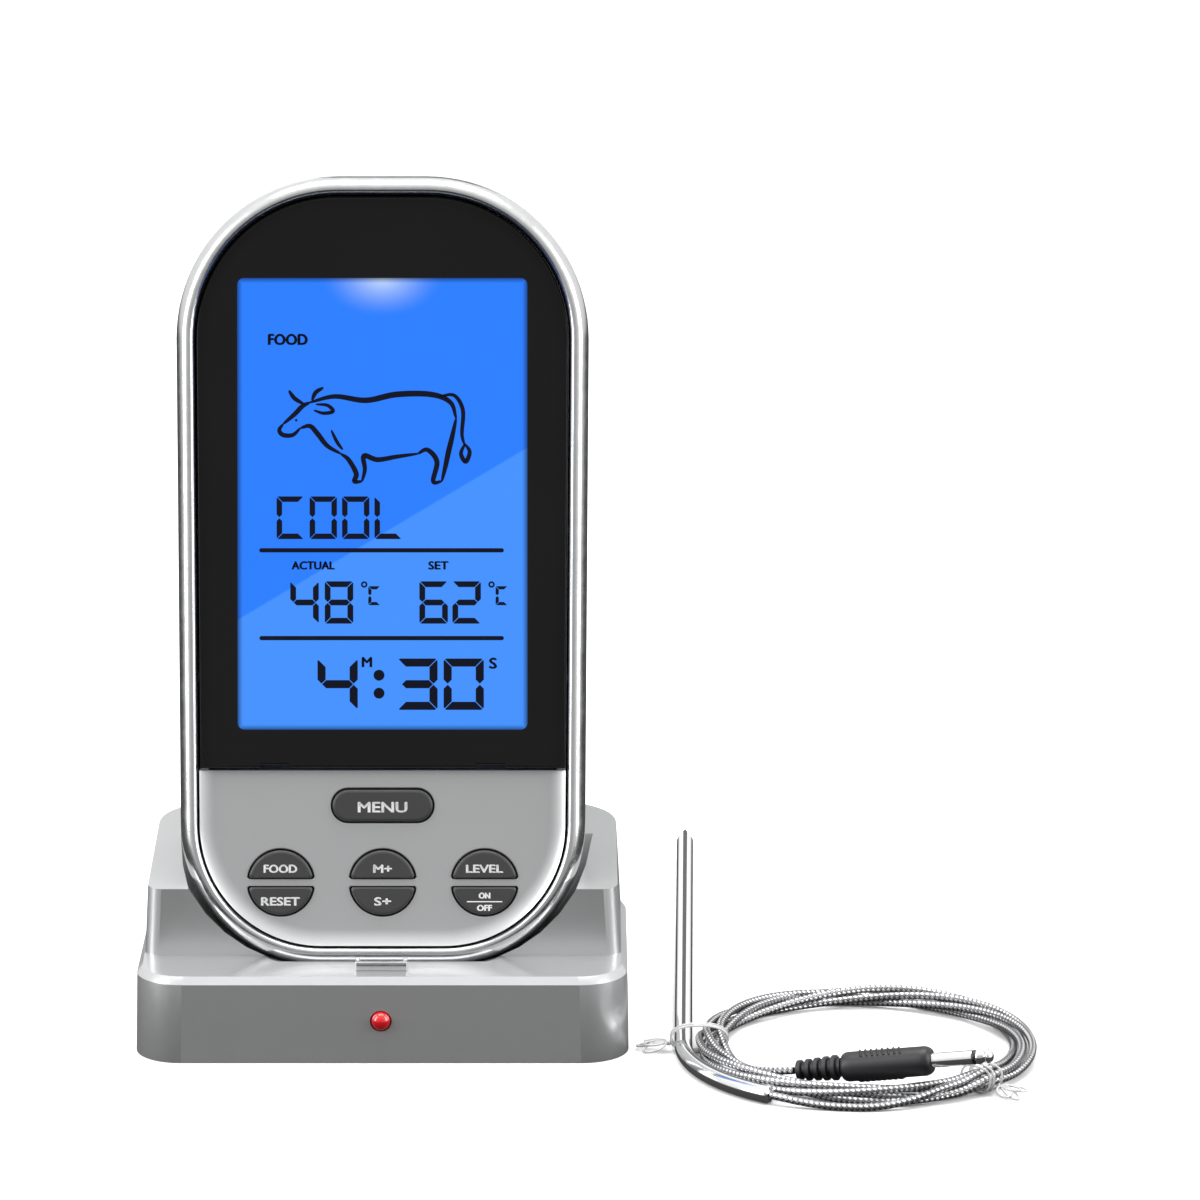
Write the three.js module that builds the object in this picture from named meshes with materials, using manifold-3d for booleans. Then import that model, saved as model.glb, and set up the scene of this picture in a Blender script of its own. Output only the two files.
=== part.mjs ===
// Wireless meat thermometer: a handheld display unit standing in its transmitter dock, and a probe on a
// braided steel lead that lies coiled on the same surface. Millimetres, +Z up, the dock's front faces -Y.
// The origin is the centre of the dock's footprint, on the surface that it stands on.
import * as THREE from 'three';
import { mergeVertices } from 'three/addons/utils/BufferGeometryUtils.js';
import Module from 'manifold-3d';

const wasm = await Module();
wasm.setup();

// ---- driving dimensions -------------------------------------------------------------------------------

const GAP = 0.3;                  // clearance between neighbouring pieces
const CORNER_STEPS = 9;           // facets in each rounded corner of an outline

// The display unit is drawn upright in a frame of its own: X across, Y into its depth from the foremost
// face, Z up from its lowest point. The whole unit then leans back in the dock.
const UNIT_HEIGHT = 134;
const UNIT_HALF_TOP = 35;         // half width where the top corners start
const UNIT_HALF_BOTTOM = 34.4;    // half width where the bottom corners start
const UNIT_TOP_RADIUS = 27.5;
const UNIT_BOTTOM_RADIUS = 24;
const UNIT_DEPTH = 22;
const UNIT_LEAN = THREE.MathUtils.degToRad(13);
const UNIT_FOOT = new THREE.Vector3(0, -15, 13.6);   // where its lowest front point stands

const RIM_WIDTH = 3.1;            // bright frame round the front
const RIM_DEPTH = 9.5;
const PANEL_INSET = RIM_WIDTH + GAP;
const PANEL_FACE = 1.5;           // depth of the button panel's face
const PANEL_BACK = 3.6;
const FRONT_WALL = 1.4;
const LENS_BOTTOM = 33.5;         // height of the lens's straight lower edge
const LENS_FACE = 1.35;
const LENS_THICKNESS = 1.2;
const SCREEN = { halfWidth: 24.6, bottom: 40.1, top: 116.7 };   // the lit area of the display
const BOARD_FACE = 8.4;
const BOARD_THICKNESS = 1;
const REAR_START = RIM_DEPTH + GAP;
const REAR_WALL = 1.6;

const BUTTON_FACE = 0.9;
const BUTTON_CAP_BACK = 3.9;
const BUTTON_FLANGE = 0.5;        // how far the flange behind the panel reaches past the cap
const MODE_BUTTON = { z: 27.2, width: 17, height: 5.4 };
const SPLIT_BUTTON = { z: 14.1, radius: 5.5, slot: 1.5, spacing: 17.3 };
const KEYPAD_FACE = 5.6;

const CELL = { radius: 5.2, length: 44.5, nubRadius: 1.9, nubLength: 0.9 };    // AAA cell
const UNIT_BAY = { z: 61, pitch: 10.9, depth: 15.1, halfWidth: 25.6, halfHeight: 12.6 };
const STAND = { halfWidth: 16.1, bottom: 82.5, hingeZ: 120.6, face: 21.8, thickness: 2.4, barrel: 1.45 };
const STAND_PIN_RADIUS = 0.6;
const UNIT_SCREWS = [[-25.5, 40], [25.5, 40], [-24.5, 104], [24.5, 104]];

// The dock: a low front block with a ledge, and a taller block behind it that wraps round the unit.
const DOCK_HALF_WIDTH = 41.75;
const DOCK_FRONT = -26;
const DOCK_BACK = 26;
const DOCK_WALL = 1.8;
const FRONT_HEIGHT = 14.8;
const REAR_FRONT = -13;           // front face of the taller block
const REAR_LOW = 26.5;            // height of its top at the front edge
const REAR_HIGH = 30.5;           // and at the back edge
const POCKET_SIDE_GAP = 1.6;      // round the unit's sides, in the dock
const COVER_THICKNESS = 1.6;
const LED = { z: 7.3, radius: 1.7 };
const JACK = { y: 0, z: 8, barrel: 2.6, bore: 1.4, reach: 11 };
const SWITCH = { y: -2, z: 8.2, slotLength: 8, slotHeight: 3.2, knob: 3 };
const DOCK_BAY = { y: 18.4, z: [7.4, 18.3], halfWidth: 23.9 };
const DOCK_DOOR = { halfWidth: 25, bottom: 2.6, top: 24.4, thickness: 1.4 };
const DOCK_SCREWS = [[-34, -17], [34, -17], [-34, 19], [34, 19]];
const DOCK_FEET = [[-26, -20], [26, -20], [-26, 10], [26, 10]];

// The probe and its lead lie beside the dock, on the surface it stands on.
const COIL = { x: 82, y: -21, inner: 24.2, outer: 29, height: 3.4 };
const NEEDLE_RADIUS = 1.5;
const NEEDLE_BORE = 1.05;
const NEEDLE_TIP = 6;             // length of the ground point
const NEEDLE_OFFSET = 31;         // of its centreline, from the middle of the coil
const NEEDLE_LENGTH = 126.5;      // of the straight part
const NEEDLE_DRIFT = 1.9;         // how far the tip leans to +X
const NEEDLE_BEND = THREE.MathUtils.degToRad(56);
const CABLE_RADIUS = 0.65;
const PLUG_BACK = new THREE.Vector3(COIL.x - 12.3, COIL.y - 16.2, 2.45);   // where the cable enters the plug
const PLUG_TURN = THREE.MathUtils.degToRad(-19);
const PLUG_RISE = THREE.MathUtils.degToRad(10.5);
const TIE_WIRE = 0.35;            // radius

// ---- materials ----------------------------------------------------------------------------------------

const finish = (color, roughness, metalness) =>
  new THREE.MeshStandardMaterial({ color, roughness, metalness });
const SILVER = finish(0xb4b6b8, 0.34, 0.55);
const CHROME = finish(0xdcdee0, 0.12, 1);
const BLACK_GLASS = finish(0x1c1c1d, 0.08, 0);
const LCD_BLUE = finish(0x2d80ff, 0.35, 0);
const DIFFUSER_WHITE = finish(0xe8eef5, 0.5, 0);
const BOARD_GREEN = finish(0x1d5b33, 0.5, 0);
const KEY_GREY = finish(0x484848, 0.55, 0);
const RUBBER_GREY = finish(0x7d7f82, 0.8, 0);
const RUBBER_BLACK = finish(0x1a1a1a, 0.75, 0);
const CELL_JACKET = finish(0x2f4a6b, 0.35, 0.2);
const SPRING_STEEL = finish(0xc8c8c4, 0.3, 1);
const BRASS = finish(0xc2a25a, 0.3, 1);
const BLACK_PLASTIC = finish(0x17171a, 0.45, 0);
const LED_RED = finish(0xc80f14, 0.15, 0);
const STEEL = finish(0xc9cacc, 0.18, 1);
const BRAID_STEEL = finish(0xa9abad, 0.35, 1);
const TIE_CLEAR = finish(0xe6e6e6, 0.4, 0);

// ---- making solids ------------------------------------------------------------------------------------

// A geometry with only its positions, its shared corners merged and its faces turned outwards.
function closed(geometry) {
  const bare = geometry.clone();
  ['normal', 'uv'].forEach((extra) => bare.deleteAttribute(extra));
  const merged = mergeVertices(bare, 1e-4);
  const position = merged.attributes.position;
  const index = merged.index.array;
  const corner = [0, 1, 2].map(() => new THREE.Vector3());
  let volume = 0;
  for (let i = 0; i < index.length; i += 3) {
    corner.forEach((v, k) => v.fromBufferAttribute(position, index[i + k]));
    volume += corner[0].dot(corner[1].cross(corner[2]));
  }
  if (volume < 0) {
    for (let i = 0; i < index.length; i += 3) [index[i], index[i + 1]] = [index[i + 1], index[i]];
  }
  merged.computeVertexNormals();
  return merged;
}

function toSolid(geometry) {
  const mesh = closed(geometry);
  return new wasm.Manifold(new wasm.Mesh({
    numProp: 3,
    vertProperties: new Float32Array(mesh.attributes.position.array),
    triVerts: new Uint32Array(mesh.index.array),
  }));
}

function toGeometry(solid) {
  const mesh = solid.getMesh();
  const geometry = new THREE.BufferGeometry();
  geometry.setAttribute('position', new THREE.BufferAttribute(mesh.vertProperties, 3));
  geometry.setIndex(new THREE.BufferAttribute(mesh.triVerts, 1));
  return geometry;
}

// One solid from a first one and lists of what is added to it and cut out of it.
function combine(first, { add = [], cut = [] }) {
  let solid = toSolid(first);
  for (const piece of add) solid = solid.add(toSolid(piece));
  for (const piece of cut) solid = solid.subtract(toSolid(piece));
  return toGeometry(solid);
}

function intersect(first, second) {
  return toGeometry(toSolid(first).intersect(toSolid(second)));
}

// Triangles that fill a flat section, each running the same way round as the section does.
function capTriangles(section, plane) {
  const flat = section.map((p) => new THREE.Vector2(p[plane[0]], p[plane[1]]));
  const way = Math.sign(THREE.ShapeUtils.area(flat));
  return THREE.ShapeUtils.triangulateShape(flat, []).map(([a, b, c]) => (
    Math.sign(THREE.ShapeUtils.area([flat[a], flat[b], flat[c]])) === way ? [a, b, c] : [c, b, a]));
}

// A skin through sections with equal numbers of points. With ring true the last section joins the first;
// otherwise flat ends close it, and their outline is read in the two given coordinates.
function loft(sections, { ring = false, plane = ['x', 'z'] } = {}) {
  const count = sections[0].length;
  const positions = sections.flat().flatMap((p) => [p.x, p.y, p.z]);
  const index = [];
  const spans = ring ? sections.length : sections.length - 1;
  for (let s = 0; s < spans; s += 1) {
    const next = (s + 1) % sections.length;
    for (let i = 0; i < count; i += 1) {
      const j = (i + 1) % count;
      const [a, b, c, d] = [s * count + i, s * count + j, next * count + j, next * count + i];
      index.push(a, b, c, a, c, d);
    }
  }
  if (!ring) {
    capTriangles(sections[0], plane).forEach(([a, b, c]) => index.push(c, b, a));
    const last = (sections.length - 1) * count;
    capTriangles(sections.at(-1), plane).forEach(([a, b, c]) => index.push(last + a, last + b, last + c));
  }
  const geometry = new THREE.BufferGeometry();
  geometry.setAttribute('position', new THREE.Float32BufferAttribute(positions, 3));
  geometry.setIndex(index);
  return geometry;
}

function box(xs, ys, zs) {
  const size = [xs, ys, zs].map(([low, high]) => high - low);
  const middle = [xs, ys, zs].map(([low, high]) => (low + high) / 2);
  return new THREE.BoxGeometry(...size).translate(...middle);
}

// A cylinder between two points.
function rod(from, to, radius, sides = 16) {
  const way = new THREE.Vector3().subVectors(to, from);
  const geometry = new THREE.CylinderGeometry(radius, radius, way.length(), sides);
  const turn = new THREE.Quaternion().setFromUnitVectors(new THREE.Vector3(0, 1, 0), way.clone().normalize());
  const middle = new THREE.Vector3().addVectors(from, to).multiplyScalar(0.5);
  return geometry.applyQuaternion(turn).translate(...middle);
}

const point = (x, y, z) => new THREE.Vector3(x, y, z);

// A turned solid along +X from a profile of [distance along X, radius], which starts and ends on the axis.
function turned(profile, sides = 16) {
  const outline = profile.map(([along, radius]) => new THREE.Vector2(radius, along));
  return new THREE.LatheGeometry(outline, sides).rotateZ(-Math.PI / 2);
}

// A round bar of one thickness along a curve.
function bar(curve, radius, steps, sides = 8) {
  const section = new THREE.Shape();
  section.absarc(0, 0, radius, 0, Math.PI * 2);
  const curveSegments = sides / 2;    // a full circle takes twice this number of points
  return new THREE.ExtrudeGeometry(section, { steps, extrudePath: curve, curveSegments, bevelEnabled: false });
}

// ---- outlines -----------------------------------------------------------------------------------------

function quarter(cx, cz, rx, rz, start) {
  return Array.from({ length: CORNER_STEPS + 1 }, (_, i) => {
    const angle = THREE.MathUtils.degToRad(start + (90 * i) / CORNER_STEPS);
    return new THREE.Vector2(cx + rx * Math.cos(angle), cz + rz * Math.sin(angle));
  });
}

// The display unit's outline, from the front, drawn in by inset. A negative inset goes outside it.
function unitOutline(inset) {
  const topX = UNIT_HALF_TOP - UNIT_TOP_RADIUS;
  const topZ = UNIT_HEIGHT - UNIT_TOP_RADIUS;
  const lowX = UNIT_HALF_BOTTOM - UNIT_BOTTOM_RADIUS;
  const [lowR, topR] = [UNIT_BOTTOM_RADIUS - inset, UNIT_TOP_RADIUS - inset];
  return [
    ...quarter(lowX, UNIT_BOTTOM_RADIUS, lowR, lowR, -90),
    ...quarter(topX, topZ, topR, topR, 0),
    ...quarter(-topX, topZ, topR, topR, 90),
    ...quarter(-lowX, UNIT_BOTTOM_RADIUS, lowR, lowR, 180),
  ];
}

// The same outline as a section at one depth in the unit.
const unitSection = (inset, depth, lift = 0) => unitOutline(inset).map((p) => point(p.x, depth, p.y + lift));

// A slab of the unit's outline between two depths.
const unitSlab = (inset, from, to, lift = 0) =>
  loft([unitSection(inset, from, lift), unitSection(inset, to, lift)]);

// A slab of any outline in X and Z, between two depths.
function slab(outline, from, to) {
  return loft([outline.map((p) => point(p.x, from, p.y)), outline.map((p) => point(p.x, to, p.y))]);
}

// A rectangle with rounded corners, as points.
function roundedRectangle(halfWidth, bottom, top, radius) {
  const x = halfWidth - radius;
  return [
    ...quarter(x, bottom + radius, radius, radius, -90),
    ...quarter(x, top - radius, radius, radius, 0),
    ...quarter(-x, top - radius, radius, radius, 90),
    ...quarter(-x, bottom + radius, radius, radius, 180),
  ];
}

// A plan of the dock at one height: its corners are rounder at one end than at the other.
function dockSection(halfWidth, front, back, frontRadius, backRadius, height) {
  const [fx, bx] = [halfWidth - frontRadius, halfWidth - backRadius];
  return [
    ...quarter(fx, front + frontRadius, frontRadius, frontRadius, -90),
    ...quarter(bx, back - backRadius, backRadius, backRadius, 0),
    ...quarter(-bx, back - backRadius, backRadius, backRadius, 90),
    ...quarter(-fx, front + frontRadius, frontRadius, frontRadius, 180),
  ].map((p) => point(p.x, p.y, height));
}

const dockLoft = (sections) => loft(sections, { plane: ['x', 'y'] });

// ---- adding pieces ------------------------------------------------------------------------------------

const group = new THREE.Group();

const unit = new THREE.Group();
unit.position.copy(UNIT_FOOT);
unit.rotation.x = -UNIT_LEAN;
group.add(unit);
unit.updateMatrixWorld(true);

const lead = new THREE.Group();
lead.position.set(COIL.x, COIL.y, 0);
group.add(lead);

const plug = new THREE.Group();
plug.position.copy(PLUG_BACK);
plug.rotation.set(0, -PLUG_RISE, PLUG_TURN, 'ZYX');
group.add(plug);

function piece(parent, name, geometry, material) {
  const mesh = new THREE.Mesh(closed(geometry), material);
  mesh.name = name;
  parent.add(mesh);
}

// ---- display unit: casings ----------------------------------------------------------------------------

// The frame's section, as [inset, depth] round its profile.
const RIM_PROFILE = [
  [0, RIM_DEPTH], [0, 3.4], [0.25, 2], [0.8, 0.85], [1.6, 0.15], [2.3, 0], [2.85, 0.35], [RIM_WIDTH, 1.1],
  [RIM_WIDTH, RIM_DEPTH],
];

function rimTrim() {
  return loft(RIM_PROFILE.map(([inset, depth]) => unitSection(inset, depth)), { ring: true });
}

const stadium = (grow) => roundedRectangle(
  MODE_BUTTON.width / 2 + grow,
  MODE_BUTTON.z - MODE_BUTTON.height / 2 - grow,
  MODE_BUTTON.z + MODE_BUTTON.height / 2 + grow,
  MODE_BUTTON.height / 2 + grow - 0.01,
);

// Half a disc above (side 1) or below (side -1) a straight slot, round x.
function halfDisc(x, side, grow) {
  const edge = (SPLIT_BUTTON.slot - grow) / 2;
  const radius = SPLIT_BUTTON.radius + grow;
  const start = Math.asin(edge / radius);
  const steps = 2 * CORNER_STEPS;
  return Array.from({ length: steps + 1 }, (_, i) => {
    const angle = start + ((Math.PI - 2 * start) * i) / steps;
    return new THREE.Vector2(x + radius * Math.cos(angle), SPLIT_BUTTON.z + side * radius * Math.sin(angle));
  });
}

const BUTTONS = [
  { name: 'mode_button', outline: stadium, pad: [0, MODE_BUTTON.z] },
  ...[['meat_button', -1, 1], ['clear_button', -1, -1], ['min_button', 0, 1], ['sec_button', 0, -1],
    ['taste_button', 1, 1], ['start_stop_button', 1, -1]].map(([name, column, side]) => ({
    name,
    outline: (grow) => halfDisc(column * SPLIT_BUTTON.spacing, side, grow),
    pad: [column * SPLIT_BUTTON.spacing, SPLIT_BUTTON.z + side * SPLIT_BUTTON.radius * 0.55],
  })),
];

function frontHousing() {
  const inner = PANEL_INSET + FRONT_WALL;
  const wallBack = BOARD_FACE - GAP;
  return combine(unitSlab(PANEL_INSET, PANEL_FACE, wallBack), {
    cut: [
      unitSlab(inner, PANEL_BACK, wallBack + 1),
      box([-60, 60], [0, LENS_FACE + LENS_THICKNESS + GAP], [LENS_BOTTOM - GAP, UNIT_HEIGHT]),
      box([-SCREEN.halfWidth - 0.6, SCREEN.halfWidth + 0.6], [0, 5], [SCREEN.bottom - 0.6, SCREEN.top + 0.6]),
      ...BUTTONS.map(({ outline }) => slab(outline(GAP), 0, 5)),
      ...BUTTONS.map(({ outline }) => slab(outline(BUTTON_FLANGE + GAP), PANEL_BACK, KEYPAD_FACE)),
    ],
  });
}

function displayLens() {
  const blank = unitSlab(PANEL_INSET + 0.05, LENS_FACE, LENS_FACE + LENS_THICKNESS);
  return intersect(blank, box([-60, 60], [0, 10], [LENS_BOTTOM, UNIT_HEIGHT]));
}

// The back casing's outside, as [inset, depth].
const REAR_PROFILE = [
  [0, REAR_START], [0, 13.4], [0.4, 15.6], [1.5, 18], [3.2, 20.2], [5, 21.4], [7, UNIT_DEPTH],
];
const REAR_FACE = UNIT_DEPTH;

function rearHousing() {
  const outer = loft(REAR_PROFILE.map(([inset, depth]) => unitSection(inset, depth)));
  const inner = loft([
    unitSection(REAR_WALL, REAR_START - 1),
    unitSection(REAR_WALL, 13.2),
    unitSection(REAR_WALL + 1.5, 17),
    unitSection(REAR_WALL + 5.2, REAR_FACE - REAR_WALL),
  ]);
  const recess = { half: STAND.halfWidth + 0.4, low: STAND.bottom - 0.5, high: STAND.hingeZ + 2.4, floor: 19 };
  const tub = 1.9;
  const hollow = toGeometry(toSolid(outer).subtract(toSolid(inner)));
  const screwBoss = ([x, z]) => rod(point(x, 12.5, z), point(x, REAR_FACE - 0.8, z), 2.8, 14);
  const pinHole = rod(
    point(-recess.half - 1.5, STAND.face - 1.2, STAND.hingeZ),
    point(recess.half + 1.5, STAND.face - 1.2, STAND.hingeZ),
    STAND_PIN_RADIUS + 0.15,
    12,
  );
  const bay = UNIT_BAY;
  const bayWall = (z) => box([-27.2, 27.2], [11, REAR_FACE - 1], [z - 0.6, z + 0.6]);
  return combine(hollow, {
    add: [
      box([-recess.half - tub, recess.half + tub], [recess.floor - 1.2, REAR_FACE - 1],
        [recess.low - tub, recess.high + tub]),
      bayWall(bay.z - bay.halfHeight - 1.4),
      bayWall(bay.z + bay.halfHeight + 1.4),
      ...UNIT_SCREWS.map(screwBoss),
    ],
    cut: [
      box([-recess.half, recess.half], [recess.floor, REAR_FACE + 1], [recess.low, recess.high]),
      box([-bay.halfWidth - GAP, bay.halfWidth + GAP], [REAR_FACE - 3, REAR_FACE + 1],
        [bay.z - bay.halfHeight - GAP, bay.z + bay.halfHeight + GAP]),
      pinHole,
      ...UNIT_SCREWS.map(([x, z]) => rod(point(x, REAR_FACE - 2, z), point(x, REAR_FACE + 1, z), 2.4, 14)),
      ...UNIT_SCREWS.map(([x, z]) => rod(point(x, 12, z), point(x, REAR_FACE, z), 1.3, 10)),
      ...[-6, -3, 0, 3, 6].map((x) => rod(point(x, REAR_FACE - 3, 30), point(x, REAR_FACE + 1, 30), 0.8, 8)),
    ],
  });
}

function unitBatteryDoor() {
  const { halfWidth, halfHeight, z } = UNIT_BAY;
  return box([-halfWidth, halfWidth], [REAR_FACE - 1.4, REAR_FACE], [z - halfHeight, z + halfHeight]);
}

// A fold-out leg: a flat plate with a barrel at its top end, bored for the pin.
function foldOutStand() {
  const { halfWidth, bottom, hingeZ, face, thickness, barrel } = STAND;
  const axisDepth = face - thickness / 2;
  const across = (reach, radius, sides) => rod(
    point(-reach, axisDepth, hingeZ), point(reach, axisDepth, hingeZ), radius, sides);
  return combine(box([-halfWidth, halfWidth], [face - thickness, face], [bottom, hingeZ]), {
    add: [across(halfWidth, barrel, 20)],
    cut: [
      across(halfWidth + 1, STAND_PIN_RADIUS + 0.15, 12),
      box([-7, 7], [face - thickness - 1, face + 1], [bottom + 9, bottom + 21]),
    ],
  });
}

function standPin() {
  const half = STAND.halfWidth + 1.6;
  const depth = STAND.face - STAND.thickness / 2;
  return rod(point(-half, depth, STAND.hingeZ), point(half, depth, STAND.hingeZ), STAND_PIN_RADIUS, 10);
}

// ---- display unit: inside -----------------------------------------------------------------------------

function lcdPanel() {
  const half = SCREEN.halfWidth + 1.3;
  return box([-half, half], [3.9, 5.7], [SCREEN.bottom - 2.4, SCREEN.top + 1.8]);
}

function backlight() {
  const half = SCREEN.halfWidth + 1.1;
  return combine(box([-half, half], [5.95, 8.1], [SCREEN.bottom - 2, SCREEN.top + 1.5]), {
    add: [box([-5, 5], [6.4, 8.1], [SCREEN.top + 1, SCREEN.top + 5])],
  });
}

function buttonKeypad() {
  const sheet = intersect(unitSlab(PANEL_INSET + FRONT_WALL + 0.5, 7, 8), box([-40, 40], [6, 9], [0, 34]));
  return combine(sheet, {
    add: BUTTONS.map(({ pad: [x, z] }) => rod(point(x, KEYPAD_FACE, z), point(x, 7.5, z), 1.7, 10)),
  });
}

const unitBoard = () => unitSlab(PANEL_INSET + FRONT_WALL + GAP, BOARD_FACE, BOARD_FACE + BOARD_THICKNESS);

function button({ outline }) {
  return combine(slab(outline(0), BUTTON_FACE, BUTTON_CAP_BACK + 0.1), {
    add: [slab(outline(BUTTON_FLANGE), BUTTON_CAP_BACK, BUTTON_CAP_BACK + 0.7)],
  });
}

// An AAA cell along X, its nub on the +X side.
function cell() {
  const half = CELL.length / 2;
  const shoulder = half - CELL.nubLength;
  return turned([
    [-half, 0], [-half, CELL.radius - 0.4], [-half + 0.4, CELL.radius], [shoulder - 0.5, CELL.radius],
    [shoulder, CELL.radius - 0.6], [shoulder, CELL.nubRadius], [half, CELL.nubRadius], [half, 0],
  ], 18);
}

// A contact plate in the YZ plane with a dimple towards the cell; side is where the dimple points.
function contact(x, side, ys, zs) {
  const [y, z] = [(ys[0] + ys[1]) / 2, (zs[0] + zs[1]) / 2];
  const dimple = rod(point(x, y, z), point(x + side * 0.8, y, z), 1.4, 10);
  return combine(box([x - 0.2, x + 0.2], ys, zs), { add: [dimple] });
}

function buzzer() {
  return rod(point(0, 16.4, 30), point(0, REAR_FACE - REAR_WALL - GAP, 30), 6, 20);
}

function unitAntenna() {
  const wave = Array.from({ length: 13 }, (_, i) => point(-12 + 2 * i, 11.2, 126 + (i % 2 ? 1.1 : -1.1)));
  return bar(new THREE.CatmullRomCurve3(wave), 0.35, 36, 6);
}

// A screw along Y: its head at the given depth, its shank towards the front.
function unitScrew([x, z]) {
  const head = REAR_FACE - 0.9;
  return combine(rod(point(x, head - 0.9, z), point(x, head, z), 2.1, 12), {
    add: [rod(point(x, 13, z), point(x, head - 0.5, z), 1, 8)],
  });
}

// ---- dock ---------------------------------------------------------------------------------------------

// Everything under the sloping top of the taller block, down to a plane held off it by drop.
function underSlope(drop) {
  const rise = (REAR_HIGH - REAR_LOW) / (DOCK_BACK - REAR_FRONT);
  const top = (y) => REAR_LOW + rise * (y - REAR_FRONT) - drop;
  const outline = [[-60, -5], [60, -5], [60, top(60)], [-60, top(-60)]];
  return loft([-60, 60].map((x) => outline.map(([y, z]) => point(x, y, z))), { plane: ['y', 'z'] });
}

// The dock's outside, or with a wall's thickness its inside.
function dockForm(wall) {
  const [low, high] = [wall ? -1 : 0, FRONT_HEIGHT - wall];
  const lowBlock = dockLoft([
    dockSection(DOCK_HALF_WIDTH - wall, DOCK_FRONT + wall, DOCK_BACK - wall, 8 - wall, 8 - wall, low),
    dockSection(DOCK_HALF_WIDTH - 0.3 - wall, DOCK_FRONT + 0.5 + wall, DOCK_BACK - wall, 8 - wall, 8 - wall,
      high - (wall ? 0 : 1.2)),
    dockSection(DOCK_HALF_WIDTH - 1.2 - wall, DOCK_FRONT + 1.5 + wall, DOCK_BACK - wall, 7.4 - wall, 8 - wall,
      high + (wall ? 0.01 : 0)),
  ]);
  const highBlock = dockLoft([
    dockSection(DOCK_HALF_WIDTH - 0.7 - wall, REAR_FRONT + wall, DOCK_BACK - wall, 2.4, 8 - wall, 5),
    dockSection(DOCK_HALF_WIDTH - 2.2 - wall, REAR_FRONT + 0.5 + wall, DOCK_BACK - wall, 2.4, 9 - wall, 33),
  ]);
  return toSolid(lowBlock).add(toSolid(highBlock).intersect(toSolid(underSlope(wall))));
}

// The space the unit drops into, grown all round by grow and drawn in the dock's frame.
function pocket(grow) {
  const lift = POCKET_SIDE_GAP - GAP;
  const slabOfUnit = unitSlab(-POCKET_SIDE_GAP - grow, -1.4 - grow, UNIT_DEPTH + 0.8 + grow, lift);
  return slabOfUnit.applyMatrix4(unit.matrixWorld);
}

const dockBoss = ([x, y], top) => rod(point(x, y, COVER_THICKNESS + 0.4), point(x, y, top), 2.8, 14);

function dockShell() {
  const inside = dockForm(DOCK_WALL).subtract(toSolid(pocket(1.6)));
  const shell = toGeometry(dockForm(0).subtract(inside));
  const { y, z, slotLength, slotHeight } = SWITCH;
  const slotMiddle = y + (slotLength - SWITCH.knob) / 2 - 0.5;
  return combine(shell, {
    add: DOCK_SCREWS.map((at) => dockBoss(at, at[1] < 0 ? FRONT_HEIGHT - 1 : REAR_LOW + 2.4)),
    cut: [
      pocket(0),
      rod(point(0, -40, LED.z), point(0, -20, LED.z), LED.radius + 0.15, 16),
      rod(point(30, JACK.y, JACK.z), point(60, JACK.y, JACK.z), JACK.barrel + GAP, 18),
      box([-60, -35], [slotMiddle - slotLength / 2, slotMiddle + slotLength / 2],
        [z - slotHeight / 2, z + slotHeight / 2]),
      box([-DOCK_DOOR.halfWidth - GAP, DOCK_DOOR.halfWidth + GAP], [DOCK_BACK - 4, DOCK_BACK + 2],
        [DOCK_DOOR.bottom - GAP, DOCK_DOOR.top + GAP]),
      ...DOCK_SCREWS.map(([x, yy]) => rod(point(x, yy, 0), point(x, yy, 10), 1.3, 10)),
    ],
  });
}

function dockBottomCover() {
  const hold = DOCK_WALL + GAP;
  const plan = (height) => dockSection(DOCK_HALF_WIDTH - hold, DOCK_FRONT + hold + 0.1, DOCK_BACK - hold,
    8 - hold, 8 - hold, height);
  const cradle = (x) => box([x - 0.7, x + 0.7], [12.9, 23.6], [0.5, 23.4]);
  return combine(dockLoft([plan(0), plan(COVER_THICKNESS)]), {
    add: [-25.4, 25.4].map(cradle),
    cut: [
      ...DOCK_FEET.map(([x, y]) => rod(point(x, y, -1), point(x, y, 1), 4.3, 20)),
      ...DOCK_SCREWS.map(([x, y]) => rod(point(x, y, -1), point(x, y, 1.05), 2.5, 14)),
      ...DOCK_SCREWS.map(([x, y]) => rod(point(x, y, -1), point(x, y, 3), 1.3, 10)),
    ],
  });
}

const dockFoot = ([x, y]) => rod(point(x, y, 0), point(x, y, 0.8), 4, 20);

function dockScrew([x, y]) {
  return combine(rod(point(x, y, 0.15), point(x, y, 0.85), 2.2, 12), {
    add: [rod(point(x, y, 0.5), point(x, y, 8), 1, 8)],
  });
}

function dockBatteryDoor() {
  const { halfWidth, bottom, top, thickness } = DOCK_DOOR;
  return box([-halfWidth, halfWidth], [DOCK_BACK - thickness, DOCK_BACK], [bottom, top]);
}

// A spring clip on the ledge, in front of the unit: two short posts joined by a bar.
function retainingTab() {
  const [front, back] = [DOCK_FRONT + 4.6, DOCK_FRONT + 7.4];
  const foot = FRONT_HEIGHT + 0.05;
  return combine(box([-4.4, 4.4], [front, back], [foot, foot + 1.5]), {
    cut: [box([-3.7, 3.7], [front + 0.7, back + 1], [foot - 1, foot + 3])],
  });
}

function statusLed() {
  const { radius, z } = LED;
  const nose = DOCK_FRONT - 0.9;
  const dome = [[0, 0], [0.15, 0.75], [0.5, 1.25], [1, 1.55], [1.6, radius], [5.2, radius], [5.2, 0]];
  return turned(dome, 20).rotateZ(Math.PI / 2).translate(0, nose, z);
}

const dockBoard = () => box([-31, 27], [-21.4, 8], [2.6, 3.8]);

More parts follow.
